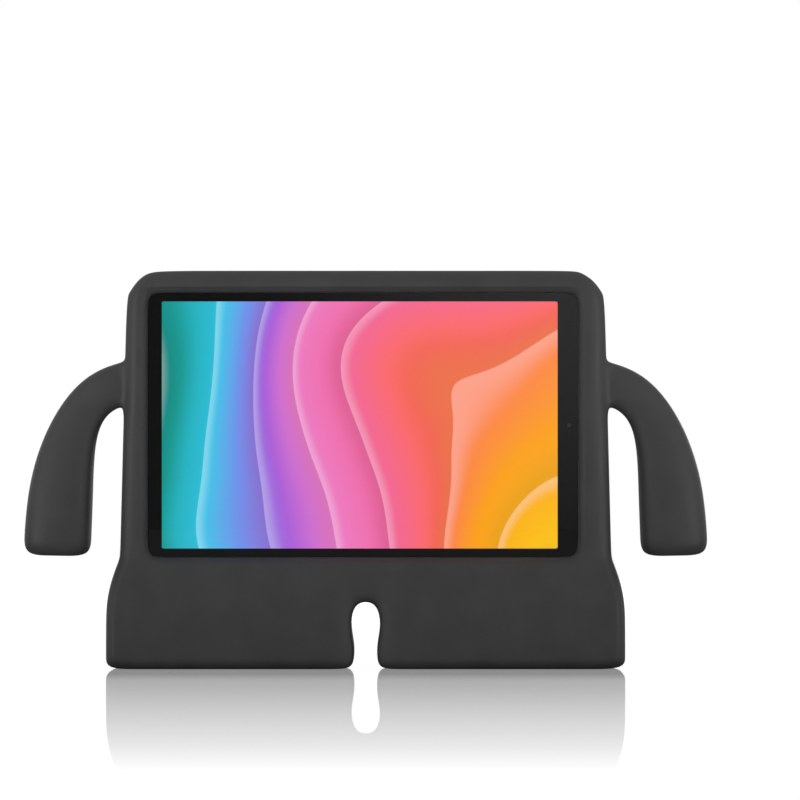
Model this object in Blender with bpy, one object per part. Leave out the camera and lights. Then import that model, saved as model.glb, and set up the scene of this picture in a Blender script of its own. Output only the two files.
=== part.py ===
"""A child's foam tablet case with two arm handles and two feet, and the tablet that it holds.

Metres, +Z up, the screen towards -Y. The origin is on the floor, under the middle of the case.
The case is one moulding: a cage of blocks with the window, the pocket and the notch left out of it,
smoothed by subdivision, with an arm drawn out of each side. The tablet is built layer by layer,
from its cover glass at the front to its back shell.
"""

import math

import bmesh
import bpy
from mathutils import Vector

# Tablet, as it lies in the case with its long side across
TABLET_WIDTH = 0.2452
TABLET_HEIGHT = 0.1494
TABLET_CORNER = 0.0070
TABLET_OFFSET = -0.0016
TABLET_LIFT = 0.0588
GLASS_THICK = 0.0007
PANEL_THICK = 0.0015
MID_FRAME_THICK = 0.0008
BATTERY_THICK = 0.0026
SHELL_BACK = 0.0009
SHELL_WALL = 0.0011
BEZEL_LEFT = 0.01215
BEZEL_RIGHT = 0.01555
BEZEL_EDGE = 0.00675
SCREEN_CORNER = 0.0010
SCREEN_FIELDS = ("screen_teal", "screen_cyan", "screen_violet", "screen_pink", "screen_orange")
SCREEN_SLOPE = (0.90, 0.0, -0.44)
SCREEN_FIELD_SHARE = 0.20

# Clearances between neighbours
CASE_GAP = 0.0003
LAYER_GAP = 0.00025
KEY_GAP = 0.0003

# Foam round the tablet
LIP_SIDE = 0.0046
LIP_TOP = 0.0022
LIP_THICK = 0.0057
LIP_ROUND = 0.0022
LIP_SLOPE = 0.0038
BACK_WALL = 0.0072
RIM_SIDE = 0.0078
RIM_TOP = 0.0096
SIDE_SPREAD = 0.0040
DEPTH_SPREAD = 0.0015
EDGE_ROUND = 0.0038
CASE_CORNER = 0.0185
WINDOW_EASE = 0.0110
POCKET_EASE = 0.0010

# Feet and the notch between them
FOOT_SPREAD = 0.0073
FOOT_FLARE = 0.0280
FOOT_DEPTH = 0.0420
FOOT_DEPTH_FLARE = 0.0470
SOLE_ROUND = 0.0034
SOLE_FLAT = 0.0260
SOLE_CORNER = 0.0048
NOTCH_NECK = 0.0124
NOTCH_BULB = 0.0172
NOTCH_HEIGHT = 0.0365
NOTCH_FOOT = 0.0144
NOTCH_ROUND = 0.0042
NOTCH_DIP = 0.0018
NOTCH_BLEND = 0.0100
NOTCH_CROWN = 0.0063
NOTCH_CROWN_RISE = 0.0008
NOTCH_CORNER_DROP = 0.0014
NOTCH_LEVELS = (0.19, 0.38, 0.68)

# Arms
SHOULDER_DROP = 0.0500
ARM_ROOT_WIDTH = 0.0234
ARM_TIP_WIDTH = 0.0362
ARM_ROOT_DEPTH = 0.0150
ARM_TIP_DEPTH = 0.0300
ARM_REACH = 0.0374
ARM_TIP_LIFT = 0.0618
ARM_TIP_ROUND = 0.0029
ARM_BLEND = 0.0062
SHOULDER_BLEND = 0.0032
CROOK_DROP = 0.0050
ROOT_PINCH = 0.78
ARM_BEND = ((0.74, 0.05), (0.97, 0.36))
ARM_SWELL_START = 0.3
ARM_SWELL_END = 0.9
ARM_ROOT_SQUARENESS = 2.3
ARM_TIP_SQUARENESS = 3.2

# Openings in the case
LENS_HOLE_INNER = 0.0165
LENS_HOLE_OUTER = 0.0220
LENS_HOLE_ROUND = 0.0007
PORT_SLOT_LENGTH = 0.0170
PORT_SLOT_WIDTH = 0.0048
PORT_SLOT_PAST = 0.0012
KEY_SLOT_LENGTH = 0.0560
KEY_SLOT_WIDTH = 0.0058

# Small pieces of the tablet
LENS_FROM_SIDE = 0.0102
LENS_FROM_TOP = 0.0143
LENS_RING_SIZE = 0.0077
LENS_RING_PROUD = 0.0006
LENS_RADIUS = 0.0024
LENS_THICK = 0.0004
LENS_GAP = 0.0002
LENS_RECESS = 0.00045
LENS_BARREL = 0.0017
KEY_ROW_START = 0.0370
POWER_KEY_LENGTH = 0.0100
VOLUME_KEY_LENGTH = 0.0210
KEY_SPACING = 0.0070
KEY_WIDTH = 0.0030
KEY_PROUD = 0.0006
KEY_FLANGE = 0.0006
KEY_FLANGE_THICK = 0.0005
KEY_TRAVEL = 0.0003
KEY_BOARD_THICK = 0.0008
PORT_LENGTH = 0.0089
PORT_HEIGHT = 0.0026
PORT_DEEP = 0.0070
PORT_WALL = 0.0003
BOARD_THICK = 0.0008
BOARD_WIDTH = 0.0460
BAY_CLEARANCE = 0.00355
BATTERY_CLEARANCE = 0.0431
SHIELD_THICK = 0.0014
PORT_BOARD_WIDTH = 0.0180
PORT_BOARD_HEIGHT = 0.0480
SPEAKER_LENGTH = 0.0340
SPEAKER_WIDTH = 0.0120
SPEAKER_THICK = 0.0022
FRONT_CAMERA_RADIUS = 0.0016
FRONT_CAMERA_GAP = 0.00445
BAY_GAP = 0.0006
BOARD_CORNER = 0.0010
MAIN_SHIELDS = (((-0.05, 0.22), (0.72, 0.34)), ((0.06, -0.20), (0.60, 0.30)))
PORT_SHIELDS = (((0.0, 0.24), (0.55, 0.22)),)
LENS_RING_CORNER = LENS_RING_SIZE * 0.3

# Tablet layers along Y, from the glass back to the shell
TABLET_THICK = GLASS_THICK + PANEL_THICK + MID_FRAME_THICK + BATTERY_THICK + SHELL_BACK + 4 * LAYER_GAP
TOP_HALF_DEPTH = (LIP_THICK + TABLET_THICK + 2 * CASE_GAP + BACK_WALL) / 2
POCKET_FRONT = LIP_THICK - TOP_HALF_DEPTH
POCKET_BACK = TOP_HALF_DEPTH - BACK_WALL
GLASS_Y = POCKET_FRONT + CASE_GAP
PANEL_Y = GLASS_Y + GLASS_THICK + LAYER_GAP
MID_FRAME_Y = PANEL_Y + PANEL_THICK + LAYER_GAP
BATTERY_Y = MID_FRAME_Y + MID_FRAME_THICK + LAYER_GAP
SHELL_Y = BATTERY_Y + BATTERY_THICK + LAYER_GAP
TABLET_BACK_Y = SHELL_Y + SHELL_BACK
TABLET_MID_Y = (GLASS_Y + TABLET_BACK_Y) / 2
PORT_Y = BATTERY_Y + PORT_HEIGHT / 2

# Screen inside its border, and the battery bay between the camera's level and its mirror below
SCREEN_WIDTH = TABLET_WIDTH - BEZEL_LEFT - BEZEL_RIGHT
SCREEN_HEIGHT = TABLET_HEIGHT - 2 * BEZEL_EDGE
BAY_HEIGHT = TABLET_HEIGHT - 2 * (LENS_FROM_TOP + LENS_RING_SIZE / 2 + BAY_CLEARANCE)
BATTERY_LEFT_MARGIN = SHELL_WALL + BOARD_WIDTH + 2 * BAY_GAP
BATTERY_RIGHT_MARGIN = PORT_WALL + PORT_DEEP + PORT_BOARD_WIDTH + LAYER_GAP + BATTERY_CLEARANCE
BATTERY_WIDTH = TABLET_WIDTH - BATTERY_LEFT_MARGIN - BATTERY_RIGHT_MARGIN

# Tablet, pocket and window edges across and up
TABLET_LEFT = TABLET_OFFSET - TABLET_WIDTH / 2
TABLET_RIGHT = TABLET_OFFSET + TABLET_WIDTH / 2
TABLET_TOP = TABLET_LIFT + TABLET_HEIGHT
TABLET_MID_Z = TABLET_LIFT + TABLET_HEIGHT / 2
POCKET_BOTTOM = TABLET_LIFT - CASE_GAP
POCKET_TOP = TABLET_TOP + CASE_GAP
WINDOW_BOTTOM = TABLET_LIFT + LIP_TOP
WINDOW_TOP = TABLET_TOP - LIP_TOP
CASE_TOP = POCKET_TOP + RIM_TOP
TOP_HALF_WIDTH = TABLET_WIDTH / 2 + CASE_GAP + RIM_SIDE
FOOT_HALF_DEPTH = FOOT_DEPTH / 2
ROOT_TOP = CASE_TOP - SHOULDER_DROP
ROOT_BOTTOM = ROOT_TOP - ARM_ROOT_WIDTH - CROOK_DROP
ROOT_INNER = ARM_ROOT_WIDTH * 0.3

# Lines of the case's block cage, from left to right, from front to back and from the floor up
NOTCH_LINE = NOTCH_BULB / 2 + NOTCH_BLEND
LEFT_EASE = TABLET_LEFT + LIP_SIDE + WINDOW_EASE
RIGHT_EASE = TABLET_RIGHT - LIP_SIDE - WINDOW_EASE
X_LINES = (
    -TOP_HALF_WIDTH,
    TABLET_LEFT - CASE_GAP,
    TABLET_LEFT + LIP_SIDE,
    LEFT_EASE,
    (LEFT_EASE - NOTCH_LINE) / 2,
    -NOTCH_LINE,
    -NOTCH_NECK / 2,
    0.0,
    NOTCH_NECK / 2,
    NOTCH_LINE,
    (RIGHT_EASE + NOTCH_LINE) / 2,
    RIGHT_EASE,
    TABLET_RIGHT - LIP_SIDE,
    TABLET_RIGHT + CASE_GAP,
    TOP_HALF_WIDTH,
)
Z_LINES = (
    0.0,
    NOTCH_HEIGHT * NOTCH_LEVELS[0],
    NOTCH_HEIGHT * NOTCH_LEVELS[1],
    NOTCH_HEIGHT * NOTCH_LEVELS[2],
    NOTCH_HEIGHT,
    (NOTCH_HEIGHT + POCKET_BOTTOM) / 2,
    POCKET_BOTTOM,
    WINDOW_BOTTOM,
    WINDOW_BOTTOM + WINDOW_EASE,
    (WINDOW_BOTTOM + WINDOW_EASE + ROOT_BOTTOM - ARM_BLEND) / 2,
    ROOT_BOTTOM - ARM_BLEND,
    ROOT_BOTTOM,
    ROOT_BOTTOM + ROOT_INNER,
    ROOT_TOP - ROOT_INNER,
    ROOT_TOP,
    ROOT_TOP + SHOULDER_BLEND,
    WINDOW_TOP - WINDOW_EASE,
    WINDOW_TOP,
    POCKET_TOP,
    CASE_TOP,
)
LAST_X = len(X_LINES) - 1
LAST_Y = 5
LAST_Z = len(Z_LINES) - 1
WINDOW_X = (2, LAST_X - 2)
WINDOW_Z = (7, LAST_Z - 2)
POCKET_X = (1, LAST_X - 1)
POCKET_Z = (6, LAST_Z - 1)
POCKET_Y = (2, 3)
NOTCH_X = (6, 8)
NOTCH_TOP = 4
ROOT_Z = (11, 14)
ROOT_Y = (1, 4)

# A smoothed cage lies inside its corners, so an arm's rings stand this much outside the arm
ARM_RING_SWELL = 1.045
ARM_RINGS = 8
FIRST_RING = 0.065
LAST_RING = 0.935

# Faces of the smoothed case that turn by less than this, in degrees, are joined
FLAT_ANGLE = 1.2

# Faces round a slot's end, a small disc and the camera hole
END_SIDES = 8
DISC_SIDES = 16
HOLE_SIDES = 28

# Two places nearer than this are one
SAME_PLACE = 1e-7

COLOURS = {
    "eva_foam": (0.045, 0.045, 0.046, 0.62, 0.0),
    "cover_glass": (0.006, 0.006, 0.008, 0.08, 0.0),
    "aluminium": (0.42, 0.46, 0.53, 0.35, 1.0),
    "black_plastic": (0.02, 0.02, 0.022, 0.45, 0.0),
    "battery_wrap": (0.06, 0.06, 0.07, 0.4, 0.0),
    "circuit_board": (0.01, 0.08, 0.05, 0.5, 0.0),
    "steel": (0.45, 0.45, 0.46, 0.3, 1.0),
    "lens": (0.01, 0.012, 0.03, 0.05, 0.0),
    "screen_teal": (0.03, 0.35, 0.33, 0.3, 0.0),
    "screen_cyan": (0.10, 0.60, 0.75, 0.3, 0.0),
    "screen_violet": (0.45, 0.20, 0.70, 0.3, 0.0),
    "screen_pink": (0.85, 0.20, 0.45, 0.3, 0.0),
    "screen_orange": (0.95, 0.42, 0.03, 0.3, 0.0),
}


def clear_scene():
    for old in list(bpy.data.objects):
        bpy.data.objects.remove(old)


def material(name):
    """One Principled material for each finish, made the first time that it is asked for."""
    found = bpy.data.materials.get(name)
    if found:
        return found
    red, green, blue, roughness, metallic = COLOURS[name]
    made = bpy.data.materials.new(name)
    made.use_nodes = True
    shader = made.node_tree.nodes["Principled BSDF"]
    shader.inputs["Base Color"].default_value = (red, green, blue, 1.0)
    shader.inputs["Roughness"].default_value = roughness
    shader.inputs["Metallic"].default_value = metallic
    return made


def add_object(name, mesh_data, finish, smooth_angle=40.0):
    """Turn a bmesh into a named object, smooth but for its sharp edges."""
    mesh = bpy.data.meshes.new(name)
    mesh_data.to_mesh(mesh)
    mesh_data.free()
    mesh.shade_smooth()
    mesh.set_sharp_from_angle(angle=math.radians(smooth_angle))
    mesh.materials.append(material(finish))
    made = bpy.data.objects.new(name, mesh)
    bpy.context.scene.collection.objects.link(made)
    return made


def as_cutter(cutter):
    cutter.hide_render = True
    cutter.display_type = "WIRE"
    return cutter


def combine(target, other, operation):
    boolean = target.modifiers.new(other.name, "BOOLEAN")
    boolean.operation = operation
    boolean.solver = "EXACT"
    boolean.object = as_cutter(other)


def cut(target, cutter):
    """Take the cutter's shape out of the target."""
    combine(target, cutter, "DIFFERENCE")


def join(target, addition):
    """Make the addition one with the target."""
    combine(target, addition, "UNION")


def rounded_outline(width, height, radius, steps=5):
    """Points of a rounded rectangle about the origin, anticlockwise."""
    points = []
    for sign_x, sign_z, start in ((1, 1, 0), (-1, 1, 90), (-1, -1, 180), (1, -1, 270)):
        centre = Vector((sign_x * (width / 2 - radius), sign_z * (height / 2 - radius)))
        for step in range(steps + 1):
            angle = math.radians(start + 90 * step / steps)
            points.append(centre + radius * Vector((math.cos(angle), math.sin(angle))))
    return points


def prism(points, near, far, to_world):
    """Closed prism over a flat outline, from depth near to depth far, placed by to_world."""
    built = bmesh.new()
    rings = [
        [built.verts.new(to_world(point.x, point.y, depth)) for point in points]
        for depth in (near, far)
    ]
    built.faces.new(rings[0])
    built.faces.new(rings[1])
    for index in range(len(points)):
        following = (index + 1) % len(points)
        built.faces.new((rings[0][index], rings[0][following], rings[1][following], rings[1][index]))
    bmesh.ops.recalc_face_normals(built, faces=built.faces)
    return built


def facing_front(centre_x, centre_z):
    """Place an outline upright, parallel to the screen, with depth along Y."""
    return lambda u, v, depth: Vector((centre_x + u, depth, centre_z + v))


def facing_up(centre_x, centre_y):
    """Place an outline level, seen from above, with depth along Z."""
    return lambda u, v, depth: Vector((centre_x + u, centre_y + v, depth))


def facing_side(centre_y, centre_z):
    """Place an outline upright, seen from the side, with depth along X."""
    return lambda u, v, depth: Vector((depth, centre_y + v, centre_z + u))


def slab(name, finish, centre, size, near, far, radius, round_edge=0.0, steps=5):
    """Flat rounded plate parallel to the screen, with its front and back edges rounded if asked."""
    outline = rounded_outline(size[0], size[1], radius, steps)
    built = prism(outline, near, far, facing_front(*centre))
    if round_edge:
        rims = [
            edge
            for edge in built.edges
            if abs(edge.verts[0].co.y - edge.verts[1].co.y) < SAME_PLACE
        ]
        bmesh.ops.bevel(built, geom=rims, offset=round_edge, segments=2, affect="EDGES", profile=0.5)
    return add_object(name, built, finish)


# Foam case


def flare(height, start, reach):
    """0 above start, easing out to 1 at reach below it."""
    share = min(max((start - height) / reach, 0.0), 1.0)
    return math.sin(share * math.pi / 2)


def body_share(height):
    """0 at the top of the case and 1 at the foot of the window."""
    return min((CASE_TOP - height) / (CASE_TOP - WINDOW_BOTTOM), 1.0)


def half_width(height):
    body = TOP_HALF_WIDTH + SIDE_SPREAD * body_share(height)
    return body + FOOT_SPREAD * flare(height, WINDOW_BOTTOM, FOOT_FLARE)


def half_depth(height):
    body = TOP_HALF_DEPTH + DEPTH_SPREAD * body_share(height)
    foot = FOOT_HALF_DEPTH - TOP_HALF_DEPTH - DEPTH_SPREAD
    return body + foot * flare(height, WINDOW_BOTTOM, FOOT_DEPTH_FLARE)


def depth_lines(height):
    """The six lines from the front face to the back face at this height."""
    depth = half_depth(height)
    share = flare(height, WINDOW_BOTTOM - CASE_GAP, FOOT_DEPTH_FLARE)
    share = share if height < POCKET_BOTTOM else 0.0
    front = POCKET_FRONT + share * (-SOLE_FLAT / 2 - POCKET_FRONT)
    back = POCKET_BACK + share * (SOLE_FLAT / 2 - POCKET_BACK)
    return (-depth, EDGE_ROUND - depth, front, back, depth - EDGE_ROUND, depth)


def on_outline(i, k, inset):
    """A point of the case's front outline, drawn in by inset, with its top corners on arcs."""
    height = Z_LINES[k]
    wide = half_width(height)
    x = -wide if i == 0 else wide if i == LAST_X else X_LINES[i]
    across = (abs(x) - (wide - CASE_CORNER)) / CASE_CORNER
    up = (height - (CASE_TOP - CASE_CORNER)) / CASE_CORNER
    if across > 0 and up > 0:
        radius = CASE_CORNER - inset
        disc_x = across * math.sqrt(1 - up * up / 2)
        disc_z = up * math.sqrt(1 - across * across / 2)
        x = math.copysign(wide - CASE_CORNER + radius * disc_x, x)
        return x, CASE_TOP - CASE_CORNER + radius * disc_z
    if i in (0, LAST_X):
        x -= math.copysign(inset, x)
    if k == LAST_Z:
        height -= inset
    if k == 0 and inset:
        height += SOLE_ROUND
    return x, height


def on_notch(i, k, opening):
    """A point of the notch's edge, opened out by opening where it meets the front or back face."""
    half_widths = (NOTCH_FOOT / 2, NOTCH_NECK / 2, NOTCH_NECK / 2, NOTCH_BULB / 2, NOTCH_CROWN)
    side = i - NOTCH_X[0] - 1
    x = side * (half_widths[k] + opening)
    height = Z_LINES[k]
    if k == NOTCH_TOP:
        height += opening + (NOTCH_CROWN_RISE if side == 0 else -NOTCH_CORNER_DROP)
    if k == 0 and opening:
        height += SOLE_ROUND
    return x, height


def cage_point(i, j, k):
    """Where the cage's corner at line i across, j back and k up stands."""
    x, height = X_LINES[i], Z_LINES[k]
    if i in POCKET_X and k < POCKET_Z[0]:
        x = math.copysign(half_width(height) - SOLE_CORNER, x)
    y = depth_lines(height)[j]
    if i in (0, LAST_X) and j in ROOT_Y and ROOT_Z[0] <= k <= ROOT_Z[1]:
        y *= ROOT_PINCH
    at_face = j in (0, LAST_Y)
    if NOTCH_X[0] <= i <= NOTCH_X[1] and k <= NOTCH_TOP:
        x, height = on_notch(i, k, NOTCH_ROUND if at_face else 0.0)
        y -= math.copysign(NOTCH_DIP, y) if at_face else 0.0
    elif i in (0, LAST_X) or k in (0, LAST_Z):
        x, height = on_outline(i, k, EDGE_ROUND if at_face else 0.0)
    elif j < 2 and WINDOW_X[0] <= i <= WINDOW_X[1] and WINDOW_Z[0] <= k <= WINDOW_Z[1]:
        opening = LIP_SLOPE if j == 0 else 0.0
        x += {WINDOW_X[0]: -opening, WINDOW_X[1]: opening}.get(i, 0.0)
        height += {WINDOW_Z[0]: -opening, WINDOW_Z[1]: opening}.get(k, 0.0)
        y = depth_lines(height)[0] + (LIP_ROUND if j == 1 else 0.0)
    elif j in POCKET_Y and i in POCKET_X and k in POCKET_Z:
        x += math.copysign(POCKET_EASE, x)
        height += math.copysign(POCKET_EASE, k - LAST_Z / 2)
    return Vector((x, y, height))


def cell_is_foam(i, j, k):
    """Whether the cage's cell between lines i and i+1, j and j+1, k and k+1 is filled."""
    if not (0 <= i < LAST_X and 0 <= j < LAST_Y and 0 <= k < LAST_Z):
        return False
    in_window = WINDOW_X[0] <= i < WINDOW_X[1] and WINDOW_Z[0] <= k < WINDOW_Z[1] and j < POCKET_Y[0]
    in_pocket = POCKET_X[0] <= i < POCKET_X[1] and POCKET_Z[0] <= k < POCKET_Z[1] and j == POCKET_Y[0]
    in_notch = NOTCH_X[0] <= i < NOTCH_X[1] and k < NOTCH_TOP
    return not (in_window or in_pocket or in_notch)


def is_root_face(i, j, k, axis):
    """Whether this face of the cage is where an arm leaves the side of the case."""
    at_side = axis == 0 and i in (0, LAST_X)
    return at_side and ROOT_Y[0] <= j < ROOT_Y[1] and ROOT_Z[0] <= k < ROOT_Z[1]


def add_cage(built):
    """Add the skin of the filled cells, and return the cage's corners by line numbers."""
    corners = {}

    def corner(i, j, k):
        if (i, j, k) not in corners:
            corners[i, j, k] = built.verts.new(cage_point(i, j, k))
        return corners[i, j, k]

    for i in range(LAST_X + 1):
        for j in range(LAST_Y + 1):
            for k in range(LAST_Z + 1):
                here = cell_is_foam(i, j, k)
                if here != cell_is_foam(i - 1, j, k) and not is_root_face(i, j, k, 0):
                    ring = ((i, j, k), (i, j + 1, k), (i, j + 1, k + 1), (i, j, k + 1))
                    built.faces.new([corner(*place) for place in ring])
                if here != cell_is_foam(i, j - 1, k):
                    ring = ((i, j, k), (i + 1, j, k), (i + 1, j, k + 1), (i, j, k + 1))
                    built.faces.new([corner(*place) for place in ring])
                if here != cell_is_foam(i, j, k - 1):
                    ring = ((i, j, k), (i + 1, j, k), (i + 1, j + 1, k), (i, j + 1, k))
                    built.faces.new([corner(*place) for place in ring])
    return corners


def arm_path(share):
    """Centre of the arm, measured out from the side and up from the floor, and its direction."""
    root_height = ROOT_TOP - ARM_ROOT_WIDTH / 2
    drop = root_height - ARM_TIP_LIFT
    bends = ((0.0, 0.0), *ARM_BEND, (1.0, 1.0))
    handles = [Vector((ARM_REACH * out, root_height - drop * down)) for out, down in bends]
    rest = 1 - share
    weights = (rest**3, 3 * rest**2 * share, 3 * rest * share**2, share**3)
    place = sum((handle * weight for handle, weight in zip(handles, weights)), Vector((0.0, 0.0)))
    slopes = (rest**2, 2 * rest * share, share**2)
    steps = [after - before for before, after in zip(handles, handles[1:])]
    heading = sum((step * slope for step, slope in zip(steps, slopes)), Vector((0.0, 0.0)))
    return place, heading.normalized()


def arm_swell(share):
    """0 along the shoulder and 1 at the hand, with the arm thickening between them."""
    along = (share - ARM_SWELL_START) / (ARM_SWELL_END - ARM_SWELL_START)
    along = min(max(along, 0.0), 1.0)
    return along * along * (3 - 2 * along)


def arm_section(share, up, back):
    """A point of the arm's section, for up and back from -1 to 1 across the root's grid."""
    place, heading = arm_path(share)
    outward = Vector((-heading.y, heading.x))
    swell = arm_swell(share)
    wide = ARM_ROOT_WIDTH + (ARM_TIP_WIDTH - ARM_ROOT_WIDTH) * swell
    deep = ARM_ROOT_DEPTH + (ARM_TIP_DEPTH - ARM_ROOT_DEPTH) * swell
    if max(abs(up), abs(back)) < 1:
        out, aside = up, back
    else:
        eighth = math.pi / 4
        angle = eighth * (back if abs(up) == 1 else 2 * math.copysign(1, back) - up * back)
        out = math.cos(angle) if abs(up) != 1 or up > 0 else -math.cos(angle)
        aside = math.sin(angle)
        power = 2 / (ARM_ROOT_SQUARENESS + (ARM_TIP_SQUARENESS - ARM_ROOT_SQUARENESS) * swell)
        out = math.copysign(abs(out) ** power, out)
        aside = math.copysign(abs(aside) ** power, aside)
    flat = place + outward * (out * wide / 2 * ARM_RING_SWELL)
    return flat, aside * deep / 2 * ARM_RING_SWELL


def arm_ring(built, side, share, grid, rounding=0.0):
    """Corners of one ring, by grid place, drawn in by rounding at the tip."""
    ring = {}
    for up_index, back_index in grid:
        up = -1 + 2 * up_index / 3
        back = -1 + 2 * back_index / 3
        flat, aside = arm_section(share, up, back)
        place, heading = arm_path(share)
        offset = flat - place
        flat = place + offset * (1 - rounding / offset.length) if offset.length else flat
        aside *= 1 - rounding / (ARM_TIP_DEPTH / 2) if rounding else 1
        x = side * (half_width(ROOT_TOP) + flat.x)
        ring[up_index, back_index] = built.verts.new((x, aside, flat.y))
    return ring


def add_arm(built, corners, side):
    """Draw an arm out of the side of the case, ring by ring, and close its tip."""
    i = 0 if side < 0 else LAST_X
    edge = [(up, back) for up in range(4) for back in range(4) if up in (0, 3) or back in (0, 3)]
    around = sorted(edge, key=lambda place: math.atan2(place[0] - 1.5, place[1] - 1.5))
    rings = [{(up, back): corners[i, ROOT_Y[0] + back, ROOT_Z[0] + up] for up, back in edge}]
    step = (LAST_RING - FIRST_RING) / (ARM_RINGS - 1)
    shares = [FIRST_RING + step * index for index in range(ARM_RINGS)]
    shares.append(1.0 - ARM_TIP_ROUND / (ROOT_TOP - ARM_TIP_LIFT))
    for share in shares:
        rings.append(arm_ring(built, side, share, edge))
    everywhere = [(up, back) for up in range(4) for back in range(4)]
    rings.append(arm_ring(built, side, 1.0, everywhere, ARM_TIP_ROUND))
    for before, after in zip(rings, rings[1:]):
        for place, following in zip(around, around[1:] + around[:1]):
            built.faces.new((before[place], before[following], after[following], after[place]))
    cap = rings[-1]
    for up in range(3):
        for back in range(3):
            ring = ((up, back), (up + 1, back), (up + 1, back + 1), (up, back + 1))
            built.faces.new([cap[place] for place in ring])


def crease_pocket(built, corners):
    """Keep the pocket's mouth and floor, and the back edge of the lip, sharp."""
    crease = built.edges.layers.float.new("crease_edge")
    rims = (
        (POCKET_X, POCKET_Z, POCKET_Y[0]),
        (POCKET_X, POCKET_Z, POCKET_Y[1]),
        (WINDOW_X, WINDOW_Z, POCKET_Y[0]),
    )
    for columns, rows, j in rims:
        ring = [(i, rows[0]) for i in range(columns[0], columns[1])]
        ring += [(columns[1], k) for k in range(rows[0], rows[1])]
        ring += [(i, rows[1]) for i in range(columns[1], columns[0], -1)]
        ring += [(columns[0], k) for k in range(rows[1], rows[0], -1)]
        for (i, k), (next_i, next_k) in zip(ring, ring[1:] + ring[:1]):
            edge = built.edges.get((corners[i, j, k], corners[next_i, j, next_k]))
            edge[crease] = 1.0


def pill(length, width):
    """Outline of a slot with round ends, its length along the first axis."""
    points = []
    for side in (1, -1):
        centre = Vector((side * (length - width) / 2, 0.0))
        for step in range(END_SIDES + 1):
            angle = math.radians(180 * step / END_SIDES - 90 * side)
            points.append(centre + width / 2 * Vector((math.cos(angle), math.sin(angle))))
    return points


def disc(radius):
    angles = [2 * math.pi * index / DISC_SIDES for index in range(DISC_SIDES)]
    return [radius * Vector((math.cos(angle), math.sin(angle))) for angle in angles]


def lens_place():
    return TABLET_LEFT + LENS_FROM_SIDE, TABLET_TOP - LENS_FROM_TOP


def lens_hole_cutter():
    """Cone that opens backwards round the rear camera, with its rim rounded over."""
    x, z = lens_place()
    back = half_depth(z)
    inner = LENS_HOLE_INNER / 2
    profile = [(inner, POCKET_BACK - CASE_GAP), (inner, POCKET_BACK + CASE_GAP)]
    for step in range(4):
        angle = math.radians(90 * step / 3)
        radius = LENS_HOLE_OUTER / 2 + LENS_HOLE_ROUND * (1 - math.cos(angle))
        profile.append((radius, back - LENS_HOLE_ROUND * (1 - math.sin(angle))))
    profile.append((profile[-1][0] + LENS_HOLE_ROUND, back + EDGE_ROUND))
    built = bmesh.new()
    rings = []
    for radius, depth in profile:
        angles = [2 * math.pi * index / HOLE_SIDES for index in range(HOLE_SIDES)]
        ring = [(x + radius * math.cos(angle), depth, z + radius * math.sin(angle)) for angle in angles]
        rings.append([built.verts.new(place) for place in ring])
    for before, after in zip(rings, rings[1:]):
        for index in range(HOLE_SIDES):
            following = (index + 1) % HOLE_SIDES
            built.faces.new((before[index], before[following], after[following], after[index]))
    built.faces.new(rings[0])
    built.faces.new(rings[-1])
    bmesh.ops.recalc_face_normals(built, faces=built.faces)
    return add_object("lens_hole_cutter", built, "eva_foam")


def key_row_length():
    return POWER_KEY_LENGTH + KEY_SPACING + VOLUME_KEY_LENGTH


def key_row_middle():
    """Middle of the row of side keys, across the case."""
    return TABLET_LEFT + KEY_ROW_START + key_row_length() / 2


def make_case():
    built = bmesh.new()
    corners = add_cage(built)
    for side in (-1, 1):
        add_arm(built, corners, side)
    crease_pocket(built, corners)
    bmesh.ops.recalc_face_normals(built, faces=built.faces)
    case = add_object("foam_case", built, "eva_foam", smooth_angle=50.0)
    smooth = case.modifiers.new("smooth", "SUBSURF")
    smooth.levels = 1
    smooth.render_levels = 1
    cut(case, lens_hole_cutter())
    key_slot = prism(
        pill(KEY_SLOT_LENGTH, KEY_SLOT_WIDTH),
        TABLET_TOP,
        CASE_TOP + RIM_TOP,
        facing_up(key_row_middle(), TABLET_MID_Y),
    )
    cut(case, add_object("key_slot_cutter", key_slot, "eva_foam"))
    port_slot = prism(
        pill(PORT_SLOT_LENGTH, PORT_SLOT_WIDTH),
        TABLET_RIGHT - CASE_GAP,
        half_width(TABLET_MID_Z) + PORT_SLOT_PAST,
        facing_side(PORT_Y, TABLET_MID_Z),
    )
    cut(case, add_object("port_slot_cutter", port_slot, "eva_foam"))
    flatten = case.modifiers.new("flatten", "DECIMATE")
    flatten.decimate_type = "DISSOLVE"
    flatten.angle_limit = math.radians(FLAT_ANGLE)
    return case


# Tablet


def tablet_centre():
    return TABLET_OFFSET, TABLET_MID_Z


def make_cover_glass():
    edge = LAYER_GAP
    size = (TABLET_WIDTH - edge, TABLET_HEIGHT - edge)
    return slab(
        "cover_glass",
        "cover_glass",
        tablet_centre(),
        size,
        GLASS_Y,
        GLASS_Y + GLASS_THICK,
        TABLET_CORNER,
        round_edge=GLASS_THICK * 0.3,
    )


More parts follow.
